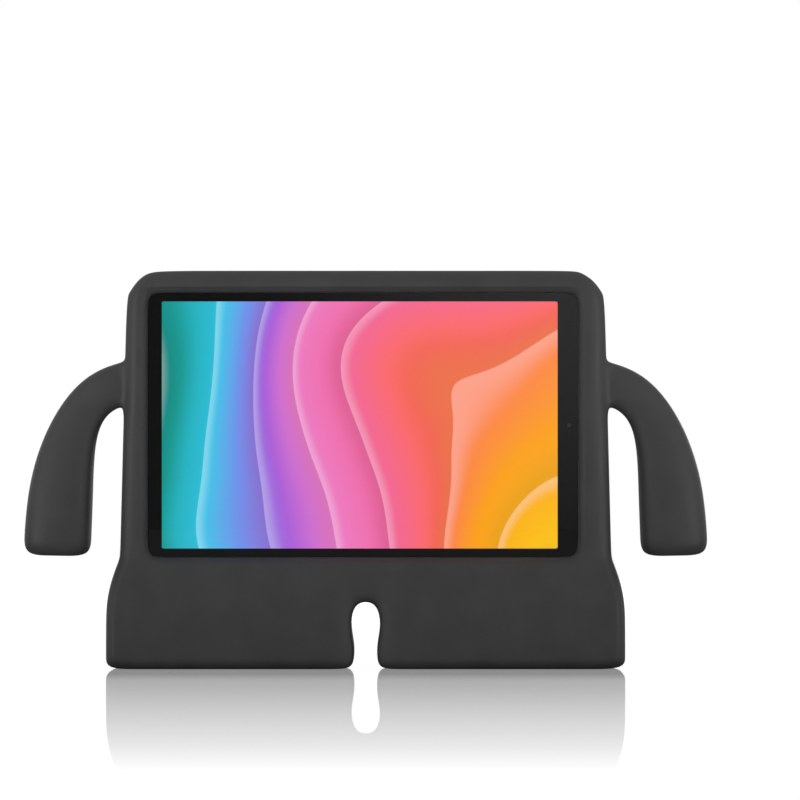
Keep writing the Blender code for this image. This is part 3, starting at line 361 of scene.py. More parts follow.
class CasePlan:
    """Lines, curves and blocks of the moulding, worked out from its settings and the tablet."""

    def __init__(self, size):
        self.size = size
        thick = SHELL_HIGH.y - GLASS_LOW.y + 2 * CASE_GAP
        self.top_depth = (size.lip_thick + thick + size.back_wall) / 2
        self.pocket_front = size.lip_thick - self.top_depth
        self.pocket_back = self.top_depth - size.back_wall
        self.pocket_bottom = SHELL_LOW.z - CASE_GAP
        self.window_bottom = SHELL_LOW.z + size.lip_top
        window_top = SHELL_HIGH.z - size.lip_top
        self.top = SHELL_HIGH.z + CASE_GAP + size.rim_top
        self.wide = (SHELL_HIGH.x - SHELL_LOW.x) / 2 + CASE_GAP + size.rim_side
        self.root_top = self.top - SHOULDER_DROP
        root_bottom = self.root_top - size.arm_root - CROOK_DROP
        inner = size.arm_root * ROOT_INNER_SHARE
        notch_line = NOTCH_BULB / 2 + NOTCH_BLEND
        left_ease = SHELL_LOW.x + size.lip_side + WINDOW_EASE
        right_ease = SHELL_HIGH.x - size.lip_side - WINDOW_EASE
        neck = size.notch_neck / 2
        self.xs = (
            -self.wide,
            SHELL_LOW.x - CASE_GAP,
            SHELL_LOW.x + size.lip_side,
            left_ease,
            (left_ease - notch_line) / 2,
            -notch_line,
            -neck,
            0.0,
            neck,
            notch_line,
            (right_ease + notch_line) / 2,
            right_ease,
            SHELL_HIGH.x - size.lip_side,
            SHELL_HIGH.x + CASE_GAP,
            self.wide,
        )
        tall = size.notch_height
        window_ease = self.window_bottom + WINDOW_EASE
        self.zs = (
            0.0,
            *(tall * share for share in NOTCH_SHARES),
            tall,
            (tall + self.pocket_bottom) / 2,
            self.pocket_bottom,
            self.window_bottom,
            window_ease,
            (window_ease + root_bottom - ARM_BLEND) / 2,
            root_bottom - ARM_BLEND,
            root_bottom,
            root_bottom + inner,
            self.root_top - inner,
            self.root_top,
            self.root_top + SHOULDER_BLEND,
            window_top - WINDOW_EASE,
            window_top,
            SHELL_HIGH.z + CASE_GAP,
            self.top,
        )
        self.last = (len(self.xs) - 1, 5, len(self.zs) - 1)
        self.window_x = (2, self.last[0] - 2)
        self.window_z = (7, self.last[2] - 2)
        self.pocket_x = (1, self.last[0] - 1)
        self.pocket_z = (6, self.last[2] - 1)
        self.pocket_y = (2, 3)
        self.notch_x = (6, 8)
        self.notch_top = 4
        self.root_z = (11, 14)
        self.root_y = (1, 4)

    def fall(self, height):
        """0 at the top, 1 at the bottom of the window and below it."""
        return min((self.top - height) / (self.top - self.window_bottom), 1.0)

    def flare(self, height, start, reach):
        """0 above start, easing out to 1 at reach below it."""
        return math.sin(min(max((start - height) / reach, 0.0), 1.0) * math.pi / 2)

    def half_width(self, height):
        foot = self.size.foot_spread * self.flare(height, self.window_bottom, FOOT_FLARE)
        return self.wide + self.size.side_spread * self.fall(height) + foot

    def half_depth(self, height):
        foot = self.size.foot_depth / 2 - self.top_depth - DEPTH_SPREAD
        foot *= self.flare(height, self.window_bottom, FOOT_DEPTH_FLARE)
        return self.top_depth + DEPTH_SPREAD * self.fall(height) + foot

    def depth_lines(self, height):
        """The six lines from the front face to the back face at this height."""
        depth = self.half_depth(height)
        share = self.flare(height, self.window_bottom - CASE_GAP, FOOT_DEPTH_FLARE)
        share = share if height < self.pocket_bottom else 0.0
        front = self.pocket_front + share * (-SOLE_FLAT / 2 - self.pocket_front)
        back = self.pocket_back + share * (SOLE_FLAT / 2 - self.pocket_back)
        edge = self.size.edge_round
        return (-depth, edge - depth, front, back, depth - edge, depth)

    def on_outline(self, i, k, inset):
        """A point of the front outline, drawn in by inset, with the top corners on arcs."""
        height, corner = self.zs[k], self.size.corner
        wide = self.half_width(height)
        x = -wide if i == 0 else wide if i == self.last[0] else self.xs[i]
        across = (abs(x) - (wide - corner)) / corner
        up = (height - (self.top - corner)) / corner
        if across > 0 and up > 0:
            radius = corner - inset
            x = math.copysign(wide - corner + radius * across * math.sqrt(1 - up * up / 2), x)
            return x, self.top - corner + radius * up * math.sqrt(1 - across * across / 2)
        if i in (0, self.last[0]):
            x -= math.copysign(inset, x)
        if k == self.last[2]:
            height -= inset
        if k == 0 and inset:
            height += SOLE_ROUND
        return x, height

    def on_notch(self, i, k, opening):
        """A point of the notch's edge, opened out where it meets the front or back face."""
        neck = self.size.notch_neck / 2
        halves = (NOTCH_FOOT / 2, neck, neck, NOTCH_BULB / 2, NOTCH_CROWN)
        side = i - self.notch_x[0] - 1
        height = self.zs[k]
        if k == self.notch_top:
            height += opening + (NOTCH_CROWN_RISE if side == 0 else -NOTCH_CORNER_DROP)
        if k == 0 and opening:
            height += SOLE_ROUND
        return side * (halves[k] + opening), height

    def point(self, i, j, k):
        """Where the cage's corner at line i across, j back and k up stands."""
        x, height = self.xs[i], self.zs[k]
        if i in self.pocket_x and k < self.pocket_z[0]:
            x = math.copysign(self.half_width(height) - SOLE_CORNER, x)
        y = self.depth_lines(height)[j]
        if i in (0, self.last[0]) and j in self.root_y and self.root_z[0] <= k <= self.root_z[1]:
            y *= ROOT_PINCH
        at_face = j in (0, self.last[1])
        in_window_x = self.window_x[0] <= i <= self.window_x[1]
        in_window_z = self.window_z[0] <= k <= self.window_z[1]
        if self.notch_x[0] <= i <= self.notch_x[1] and k <= self.notch_top:
            x, height = self.on_notch(i, k, NOTCH_ROUND if at_face else 0.0)
            y -= math.copysign(NOTCH_DIP, y) if at_face else 0.0
        elif i in (0, self.last[0]) or k in (0, self.last[2]):
            x, height = self.on_outline(i, k, self.size.edge_round if at_face else 0.0)
        elif j < 2 and in_window_x and in_window_z:
            lip = self.size.lip_round
            opening = self.size.lip_slope if j == 0 else 0.0
            x += {self.window_x[0]: -opening, self.window_x[1]: opening}.get(i, 0.0)
            height += {self.window_z[0]: -opening, self.window_z[1]: opening}.get(k, 0.0)
            y = self.depth_lines(height)[0] + (lip if j == 1 else 0.0)
        elif j in self.pocket_y and i in self.pocket_x and k in self.pocket_z:
            x += math.copysign(POCKET_EASE, x)
            height += math.copysign(POCKET_EASE, k - self.last[2] / 2)
        return Vector((x, y, height))

    def is_foam(self, i, j, k):
        """Whether the block between these lines and the next is filled."""
        if not all(0 <= n < last for n, last in zip((i, j, k), self.last)):
            return False
        window = within(i, self.window_x) and within(k, self.window_z)
        pocket = within(i, self.pocket_x) and within(k, self.pocket_z)
        notch = within(i, self.notch_x) and k < self.notch_top
        front = self.pocket_y[0]
        return not (window and j < front or pocket and j == front or notch)

    def is_root(self, i, j, k):
        """Whether this side face is where an arm leaves the case."""
        return i in (0, self.last[0]) and within(j, self.root_y) and within(k, self.root_z)

    def arm_path(self, share):
        """Centre of the arm, out from the side and up from the floor, and its direction."""
        root = self.root_top - self.size.arm_root / 2
        drop = root - self.size.arm_lift
        reach = self.size.arm_reach
        handles = [Vector((reach * out, root - drop * down)) for out, down in ARM_BEND]
        rest = 1 - share
        weights = (rest**3, 3 * rest**2 * share, 3 * rest * share**2, share**3)
        place = sum((h * w for h, w in zip(handles, weights)), Vector((0.0, 0.0)))
        slopes = (rest**2, 2 * rest * share, share**2)
        steps = [after - before for before, after in zip(handles, handles[1:])]
        heading = sum((step * slope for step, slope in zip(steps, slopes)), Vector((0.0, 0.0)))
        return place, heading.normalized()

    def arm_section(self, share, up, back):
        """Offset of a point of the arm's section, for up and back from -1 to 1."""
        along = (share - ARM_SWELL_START) / (ARM_SWELL_END - ARM_SWELL_START)
        along = min(max(along, 0.0), 1.0)
        swell = along * along * (3 - 2 * along)
        size = self.size
        wide = size.arm_root + (size.arm_hand - size.arm_root) * swell
        deep = size.arm_root_depth + (size.arm_hand_depth - size.arm_root_depth) * swell
        out, aside = up, back
        if max(abs(up), abs(back)) == 1:
            eighth = math.pi / 4
            angle = eighth * (back if abs(up) == 1 else 2 * math.copysign(1, back) - up * back)
            out = math.cos(angle) if abs(up) != 1 or up > 0 else -math.cos(angle)
            aside = math.sin(angle)
            squareness = ARM_HAND_SQUARENESS - ARM_ROOT_SQUARENESS
            power = 2 / (ARM_ROOT_SQUARENESS + squareness * swell)
            out = math.copysign(abs(out) ** power, out)
            aside = math.copysign(abs(aside) ** power, aside)
        return out * wide / 2 * ARM_RING_SWELL, aside * deep / 2 * ARM_RING_SWELL


def add_blocks(built, plan):
    """Add the skin of the filled blocks, and return the cage's corners by line numbers."""
    corners = {}

    def corner(place):
        if place not in corners:
            corners[place] = built.verts.new(plan.point(*place))
        return corners[place]

    for i in range(plan.last[0] + 1):
        for j in range(plan.last[1] + 1):
            for k in range(plan.last[2] + 1):
                here = plan.is_foam(i, j, k)
                across = ((i, j, k), (i, j + 1, k), (i, j + 1, k + 1), (i, j, k + 1))
                level = ((i, j, k), (i + 1, j, k), (i + 1, j, k + 1), (i, j, k + 1))
                flat = ((i, j, k), (i + 1, j, k), (i + 1, j + 1, k), (i, j + 1, k))
                if here != plan.is_foam(i - 1, j, k) and not plan.is_root(i, j, k):
                    built.faces.new([corner(place) for place in across])
                if here != plan.is_foam(i, j - 1, k):
                    built.faces.new([corner(place) for place in level])
                if here != plan.is_foam(i, j, k - 1):
                    built.faces.new([corner(place) for place in flat])
    return corners


def add_arm_ring(built, plan, side, share, grid, rounding=0.0):
    """Corners of one ring of an arm, by grid place, drawn in by rounding at the hand."""
    place, heading = plan.arm_path(share)
    outward = Vector((-heading.y, heading.x))
    ring = {}
    for up, back in grid:
        out, aside = plan.arm_section(share, -1 + 2 * up / 3, -1 + 2 * back / 3)
        if rounding and out:
            out *= 1 - rounding / abs(out)
        if rounding:
            aside *= 1 - rounding / (plan.size.arm_hand_depth / 2)
        flat = place + outward * out
        x = side * (plan.half_width(plan.root_top) + flat.x)
        ring[up, back] = built.verts.new((x, aside, flat.y))
    return ring


def add_arm(built, plan, corners, side):
    """Draw an arm out of the side, ring by ring, and close its hand."""
    i = 0 if side < 0 else plan.last[0]
    grid = [(up, back) for up in range(4) for back in range(4)]
    edge = [place for place in grid if place[0] in (0, 3) or place[1] in (0, 3)]
    around = sorted(edge, key=lambda place: math.atan2(place[0] - 1.5, place[1] - 1.5))
    rings = [{(u, b): corners[i, plan.root_y[0] + b, plan.root_z[0] + u] for u, b in edge}]
    step = (LAST_RING - FIRST_RING) / (ARM_RINGS - 1)
    shares = [FIRST_RING + step * index for index in range(ARM_RINGS)]
    shares.append(1.0 - ARM_TIP_ROUND / (plan.root_top - plan.size.arm_lift))
    for share in shares:
        rings.append(add_arm_ring(built, plan, side, share, edge))
    rings.append(add_arm_ring(built, plan, side, 1.0, grid, ARM_TIP_ROUND))
    for before, after in zip(rings, rings[1:]):
        for place, following in zip(around, around[1:] + around[:1]):
            built.faces.new((before[place], before[following], after[following], after[place]))
    for up in range(3):
        for back in range(3):
            ring = ((up, back), (up + 1, back), (up + 1, back + 1), (up, back + 1))
            built.faces.new([rings[-1][place] for place in ring])


def crease_pocket(built, plan, corners):
    """Keep the pocket's mouth and floor, and the back edge of the lip, sharp."""
    crease = built.edges.layers.float.new("crease_edge")
    rims = (
        (plan.pocket_x, plan.pocket_z, plan.pocket_y[0]),
        (plan.pocket_x, plan.pocket_z, plan.pocket_y[1]),
        (plan.window_x, plan.window_z, plan.pocket_y[0]),
    )
    for columns, rows, j in rims:
        ring = [(i, rows[0]) for i in range(columns[0], columns[1])]
        ring += [(columns[1], k) for k in range(rows[0], rows[1])]
        ring += [(i, rows[1]) for i in range(columns[1], columns[0], -1)]
        ring += [(columns[0], k) for k in range(rows[1], rows[0], -1)]
        for (i, k), (next_i, next_k) in zip(ring, ring[1:] + ring[:1]):
            edge = built.edges.get((corners[i, j, k], corners[next_i, j, next_k]))
            edge[crease] = 1.0


def moulding_tree():
    """Smooth a cage of blocks, take the openings out of it and give it its skin."""
    kinds = {
        "Cage": "Geometry",
        "Smoothing": "Int",
        "Camera hole": "Object",
        "Key slot": "Object",
        "Port slot": "Object",
        "Skin": "Material",
    }
    tree, add, inputs = new_tree("Foam moulding", kinds)
    crease = add("GeometryNodeInputNamedAttribute", {"Name": "crease_edge"}, data_type="FLOAT")
    sources = {"Mesh": inputs["Cage"], "Level": inputs["Smoothing"], "Edge Crease": crease}
    smooth = add("GeometryNodeSubdivisionSurface", sources)
    labels = ("Camera hole", "Key slot", "Port slot")
    cutters = [add("GeometryNodeObjectInfo", {"Object": inputs[label]}) for label in labels]
    sources = {"Mesh 1": smooth, "Mesh 2": [cutter.outputs["Geometry"] for cutter in cutters]}
    opened = add("GeometryNodeMeshBoolean", sources, operation="DIFFERENCE", solver="EXACT")
    end_tree(add, opened, inputs["Skin"])
    return tree


def foam_material(settings):
    """EVA foam pressed in a heated mould: closed cells under a tight matt skin.

    The skin scatters light almost evenly, with a soft wide sheen. Its grain is about 0.3 mm on the
    real foam and is drawn at 0.8 mm so that it shows, with a slow mottling from uneven pressing.
    """
    made, add, place = new_material("moulded_eva_foam")
    grain = add(
        "ShaderNodeTexNoise", {"Vector": place, "Scale": 1250.0, "Detail": 3.0, "Roughness": 0.6}
    )
    mottle = add(
        "ShaderNodeTexNoise", {"Vector": place, "Scale": 55.0, "Detail": 2.0, "Roughness": 0.5}
    )
    both = add("ShaderNodeMath", (grain, mottle, mottle), operation="MULTIPLY_ADD")
    shade = add("ShaderNodeMapRange", (both, 0.45, 1.05, 0.9, 1.1))
    tone = add("ShaderNodeVectorMath", {0: settings.foam[:3], 3: shade}, operation="SCALE")
    polish = add("ShaderNodeMapRange", (mottle, 0.3, 0.7, 0.55, 0.63))
    bump = add("ShaderNodeBump", {"Height": grain, "Strength": 0.18, "Distance": 0.0002})
    shader = add("ShaderNodeBsdfPrincipled", {
        "Base Color": tone,
        "Roughness": polish,
        "IOR": 1.48,
        "Specular IOR Level": 0.35,
        "Normal": bump,
    })
    add("ShaderNodeOutputMaterial", (shader,))
    return made


class CASE_OT_foam_case(bpy.types.Operator):
    """Draw the foam moulding with its arms, feet, window, pocket and openings"""

    bl_idname = "tablet_case.foam_case"
    bl_label = "Foam case"

    def execute(self, context):
        settings = context.scene.foam_case
        plan = CasePlan(settings)
        built = bmesh.new()
        corners = add_blocks(built, plan)
        for side in (-1, 1):
            add_arm(built, plan, corners, side)
        crease_pocket(built, plan, corners)
        bmesh.ops.recalc_face_normals(built, faces=built.faces)
        cage = link_bmesh("foam_case_cage", built)

        lens = (CAMERA_LOW + CAMERA_HIGH) / 2
        back = plan.half_depth(lens.z)
        hole, mouth = settings.camera_hole / 2, settings.camera_mouth / 2
        profile = [(hole, plan.pocket_back - CASE_GAP), (hole, plan.pocket_back + CASE_GAP)]
        for step in range(CAMERA_HOLE_STEPS + 1):
            angle = math.radians(90 * step / CAMERA_HOLE_STEPS)
            radius = mouth + CAMERA_HOLE_ROUND * (1 - math.cos(angle))
            profile.append((radius, back - CAMERA_HOLE_ROUND * (1 - math.sin(angle))))
        profile.append((profile[-1][0] + CAMERA_HOLE_ROUND, back + settings.edge_round))
        place = (lens.x, 0.0, lens.z)
        camera_hole = lathe("camera_hole_cutter", profile, place, CAMERA_HOLE_SIDES)

        key_slot = flared_slot(
            "key_slot_cutter",
            KEY_SLOT,
            ((KEYS_LEFT + KEYS_RIGHT) / 2, TABLET_MIDDLE_Y, 0.0),
            (SHELL_HIGH.z, plan.top, plan.top + settings.rim_top),
            SLOT_ROUND,
            lambda u, v, depth: Vector((u, v, depth)),
        )
        wall = plan.half_width(SHELL_MIDDLE.z)
        port_slot = flared_slot(
            "port_slot_cutter",
            PORT_SLOT,
            (0.0, (SOCKET_LOW.y + SOCKET_HIGH.y) / 2, SHELL_MIDDLE.z),
            (SHELL_HIGH.x - CASE_GAP, wall, wall + PORT_SLOT_PAST),
            SLOT_ROUND / 2,
            lambda u, v, depth: Vector((depth, v, u)),
        )
        values = {
            "Smoothing": settings.smoothing,
            "Camera hole": camera_hole,
            "Key slot": key_slot,
            "Port slot": port_slot,
            "Skin": foam_material(settings),
        }
        run_tree("foam_case_skin", cage, moulding_tree(), values, sharp=50.0)
        for cutter in (camera_hole, key_slot, port_slot):
            bpy.data.objects.remove(cutter)
        piece = finish("foam_case_skin", HOLDER, "eva_foam", "foam_case")
        return {"FINISHED"}


# Tablet

PRINT_MARGIN = 0.0006
PRINT_CORNER = 0.0066
PRINT_OVERLAP = 0.0004
PRINT_GAP = 0.0001
PRINT_THICK = 0.00006
CAMERA_CLEAR_SHARE = 0.7
CAMERA_CLEAR_SIDES = 32
PRINT_CORNER_STEPS = 12
LENS_SIDES = 64
LENS_STEPS = 8
LENS_GAP = 0.00004
LENS_RECESS = 0.00028
LENS_CROWN = 0.00012
LENS_TIP = 0.00001
RING_BEVEL = 0.0001
RING_SLOPE = 0.00025
RING_FLAT_SHARE = 0.6
CONTACT_SIZE = (0.0028, 0.00004, 0.00026)
CONTACT_SPACING = 0.0005
CONTACT_FROM_MOUTH = 0.0032
CONTACT_FROM_MIDDLE = 0.00037
FOLD_CENTRE_INSET = 0.006
FOLD_WIDTH = 0.0285
FOLDS_REACH = 0.213
FOLD_WOBBLE = 0.016
FOLD_WOBBLES_PER_METRE = 8.5
FOLD_SQUASH = 0.95
FOLD_LEAN = 0.45
FOLD_COLOURS = (
    (0.00, "#ffcb12"),
    (0.20, "#fda010"),
    (0.29, "#ff6a58"),
    (0.40, "#f2679f"),
    (0.53, "#ef7ec6"),
    (0.63, "#ab60da"),
    (0.72, "#6f93ec"),
    (0.80, "#2fcdea"),
    (0.89, "#12988f"),
    (1.00, "#07524e"),
)


def artwork_material():
    """Lit screen: broad soft folds of colour around a centre near the lower right corner.

    The colour runs from yellow at the centre to dark teal at the left edge. Each fold is about
    28 mm wide, shaded where the next lies over it and paler along its crest. The screen gives its
    own light, so nothing but the picture comes from it.
    """
    made, add, place = new_material("lit_screen")
    centre = Vector((PANEL_HIGH.x - FOLD_CENTRE_INSET, 0.0, PANEL_LOW.z - FOLD_CENTRE_INSET))
    sources = {"Vector": place, "Scale": FOLD_WOBBLES_PER_METRE, "Detail": 0.0}
    wobble = add("ShaderNodeTexNoise", sources)
    sources = (wobble, 0.3, 0.7, -FOLD_WOBBLE, FOLD_WOBBLE)
    shift = add("ShaderNodeMapRange", sources, clamp=False)
    away = add("ShaderNodeVectorMath", (place, centre), operation="SUBTRACT")
    flat = add("ShaderNodeVectorMath", (away, (1.0, 0.0, FOLD_SQUASH)), operation="MULTIPLY")
    reach = add("ShaderNodeVectorMath", (flat,), operation="LENGTH")
    down = (0.0, 0.0, -FOLD_LEAN)
    lean = add("ShaderNodeVectorMath", (away, down), operation="DOT_PRODUCT")
    leaning = add("ShaderNodeMath", (reach, lean), operation="ADD")
    bent = add("ShaderNodeMath", (leaning, shift), operation="ADD")
    steps = add("ShaderNodeMath", (bent, FOLD_WIDTH), operation="DIVIDE")
    within = add("ShaderNodeMath", (steps,), operation="FRACT")
    share = add("ShaderNodeMath", (bent, FOLDS_REACH), operation="DIVIDE")
    ramp = add("ShaderNodeValToRGB", (share,))
    elements = ramp.color_ramp.elements
    elements[0].color = linear(FOLD_COLOURS[0][1])
    elements[1].color = linear(FOLD_COLOURS[-1][1])
    for where, hex_colour in FOLD_COLOURS[1:-1]:
        elements.new(where).color = linear(hex_colour)
    fold = add("ShaderNodeMapRange", (within, 0.0, 0.40, 0.86, 1.0), interpolation_type="SMOOTHSTEP")
    crest = add("ShaderNodeMapRange", (within, 0.8, 1.0, 0.0, 0.2), interpolation_type="SMOOTHSTEP")
    shaded = add("ShaderNodeVectorMath", {0: ramp, 3: fold}, operation="SCALE")
    lit = add("ShaderNodeMix", {0: crest, 6: shaded, 7: WHITE}, data_type="RGBA")
    normal = add("ShaderNodeNewGeometry").outputs["Normal"]
    facing = add("ShaderNodeSeparateXYZ", (normal,)).outputs["Y"]
    front = add("ShaderNodeMath", (facing, -0.5), operation="LESS_THAN")
    glow = add("ShaderNodeMix", {0: front, 6: BLACK, 7: lit}, data_type="RGBA")
    shader = add("ShaderNodeBsdfPrincipled", {
        "Base Color": linear("#060607"),
        "Roughness": 0.4,
        "Specular IOR Level": 0.0,
        "Emission Color": glow,
        "Emission Strength": 1.05,
    })
    add("ShaderNodeOutputMaterial", (shader,))
    return made


def glass_material():
    """Strengthened soda-lime cover glass, drawn and polished: clear, with faint fingertip haze."""
    made, add, place = new_material("polished_cover_glass")
    haze = add("ShaderNodeTexNoise", {"Vector": place, "Scale": 40.0, "Detail": 4.0})
    rough = add("ShaderNodeMapRange", (haze, 0.4, 0.75, 0.006, 0.014))
    shader = add("ShaderNodeBsdfPrincipled", {
        "Base Color": WHITE,
        "Roughness": rough,
        "IOR": 1.5,
        "Transmission Weight": 1.0,
    })
    add("ShaderNodeOutputMaterial", (shader,))
    return made


def speckled_material(name, base, grain, contrast, roughness, **uniform):
    """Even finish with a fine grain in its shade, its polish and its surface.

    The base is a linear colour and the grain a size in metres. Other Principled inputs are set
    directly, as they are even.
    """
    made, add, place = new_material(name)
    noise = add(
        "ShaderNodeTexNoise", {"Vector": place, "Scale": 1.0 / grain, "Detail": 3.0, "Roughness": 0.55}
    )
    shade = add("ShaderNodeMapRange", (noise, 0.3, 0.7, 1.0 - contrast, 1.0 + contrast))
    tone = add("ShaderNodeVectorMath", {0: base[:3], 3: shade}, operation="SCALE")
    polish = add("ShaderNodeMapRange", (noise, 0.3, 0.7, roughness * 0.88, roughness * 1.12))
    bump = add("ShaderNodeBump", {"Height": noise, "Strength": 0.25, "Distance": grain * 0.1})
    shader = add("ShaderNodeBsdfPrincipled", {"Base Color": tone, "Roughness": polish, "Normal": bump})
    for label, value in uniform.items():
        shader.inputs[label.replace("_", " ")].default_value = value
    add("ShaderNodeOutputMaterial", (shader,))
    return made


def circuit_material():
    """Glass-epoxy board under green solder mask: copper runs show through as lighter lines."""
    made, add, place = new_material("solder_masked_board")
    runs = add("ShaderNodeTexBrick", {
        "Vector": place,
        "Color1": linear("#0f4a34"),
        "Color2": linear("#0c3f2c"),
        "Mortar": linear("#2a7a52"),
        "Scale": 1.0,
        "Mortar Size": 0.00018,
        "Brick Width": 0.0062,
        "Row Height": 0.0011,
    })
    shader = add("ShaderNodeBsdfPrincipled", {"Base Color": runs, "Roughness": 0.38, "IOR": 1.55})
    add("ShaderNodeOutputMaterial", (shader,))
    return made


def border_tree():
    """Thin printed sheet with a round-cornered window and a hole for the front camera."""
    kinds = {
        "Start": "Geometry",
        **dict.fromkeys(("Width", "Height", "Corner"), "Float"),
        **dict.fromkeys(("Window width", "Window height", "Window corner"), "Float"),
        "Window place": "Vector",
        "Camera radius": "Float",
        "Camera place": "Vector",
        "Place": "Vector",
        "Thickness": "Float",
        "Print": "Material",
    }
    tree, add, inputs = new_tree("Border print", kinds)
    curves = []
    for start in ("", "Window "):
        wide, tall, corner = ((start + word).capitalize() for word in ("width", "height", "corner"))
        sources = {"Width": inputs[wide], "Height": inputs[tall]}
        box = add("GeometryNodeCurvePrimitiveQuadrilateral", sources)
        sources = {"Curve": box, "Count": PRINT_CORNER_STEPS, "Radius": inputs[corner]}
        curves.append(add("GeometryNodeFilletCurve", sources, mode="POLY"))
    sources = {"Resolution": CAMERA_CLEAR_SIDES, "Radius": inputs["Camera radius"]}
    curves.append(add("GeometryNodeCurvePrimitiveCircle", sources))
    for index, label in ((1, "Window place"), (2, "Camera place")):
        sources = {"Geometry": curves[index], "Translation": inputs[label]}
        curves[index] = add("GeometryNodeTransform", sources)
    outline = add("GeometryNodeJoinGeometry", (curves,))
    filled = add("GeometryNodeFillCurve", (outline,))
    raised = add("GeometryNodeExtrudeMesh", {
        "Mesh": filled,
        "Offset": (0.0, 0.0, 1.0),
        "Offset Scale": inputs["Thickness"],
        "Individual": False,
    })
    under = add("GeometryNodeFlipFaces", (filled,))
    both = add("GeometryNodeJoinGeometry", ([raised, under],))
    welded = add("GeometryNodeMergeByDistance", {"Geometry": both, "Distance": 1e-6})
    upright = add("GeometryNodeTransform", {
        "Geometry": welded,
        "Translation": inputs["Place"],
        "Rotation": (math.pi / 2, 0.0, 0.0),
    })
    end_tree(add, upright, inputs["Print"])
    return tree


def contacts_tree():
    """Row of flat contacts, for one face of the socket's tongue."""
    kinds = {
        "Start": "Geometry",
        "Count": "Int",
        "Spacing": "Float",
        "Contact": "Vector",
        "First": "Vector",
        "Plating": "Material",
    }
    tree, add, inputs = new_tree("Socket contacts", kinds)
    step = add("ShaderNodeCombineXYZ", {"Z": inputs["Spacing"]})
    sources = {"Count": inputs["Count"], "Start Location": inputs["First"], "Offset": step}
    row = add("GeometryNodeMeshLine", sources, mode="OFFSET")
    pad = add("GeometryNodeMeshCube", (inputs["Contact"],))
    pads = add("GeometryNodeInstanceOnPoints", {"Points": row, "Instance": pad})
    end_tree(add, pads, inputs["Plating"])
    return tree


def empty_source(name):
    """Object with nothing in it, for a tree that makes its own geometry."""
    return link_mesh(name, bpy.data.meshes.new(name))


def paint(node, made):
    """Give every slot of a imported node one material."""
    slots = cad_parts[node].material_slots
    if not slots:
        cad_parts[node].data.materials.append(made)
    for material_slot in slots:
        material_slot.material = made


class CASE_OT_screen(bpy.types.Operator):
    """Finish the cover glass, the print behind it and the lit screen"""

    bl_idname = "tablet_case.screen"
    bl_label = "Glass and screen"

    def execute(self, context):
        settings = context.scene.tablet
        paint("display_panel", artwork_material())
        paint("cover_glass", glass_material())
        # Ink laminated to the glass: no air between them, so no reflection of its own
        ink = speckled_material(
            "black_border_print", settings.border, 0.0004, 0.1, 0.35, Specular_IOR_Level=0.0
        )
        middle = (GLASS_LOW + GLASS_HIGH) / 2
        window = PANEL_HIGH - PANEL_LOW
        camera = (FRONT_LENS_LOW + FRONT_LENS_HIGH) / 2
        size = GLASS_HIGH - GLASS_LOW
        values = {
            "Width": size.x - PRINT_MARGIN,
            "Height": size.z - PRINT_MARGIN,
            "Corner": PRINT_CORNER,
            "Window width": window.x - PRINT_OVERLAP,
            "Window height": window.z - PRINT_OVERLAP,
            "Window corner": settings.border_corner,
            "Window place": (SCREEN_MIDDLE.x - middle.x, SCREEN_MIDDLE.z - middle.z, 0.0),
            "Camera radius": (FRONT_LENS_HIGH.x - FRONT_LENS_LOW.x) / 2 * CAMERA_CLEAR_SHARE,
            "Camera place": (camera.x - middle.x, camera.z - middle.z, 0.0),
            "Place": (middle.x, GLASS_HIGH.y + PRINT_GAP, middle.z),
            "Thickness": PRINT_THICK,
            "Print": ink,
        }
        run_tree("border_print", empty_source("border_start"), border_tree(), values)
        finish("border_print", HOLDER, "black_plastic")
        return {"FINISHED"}


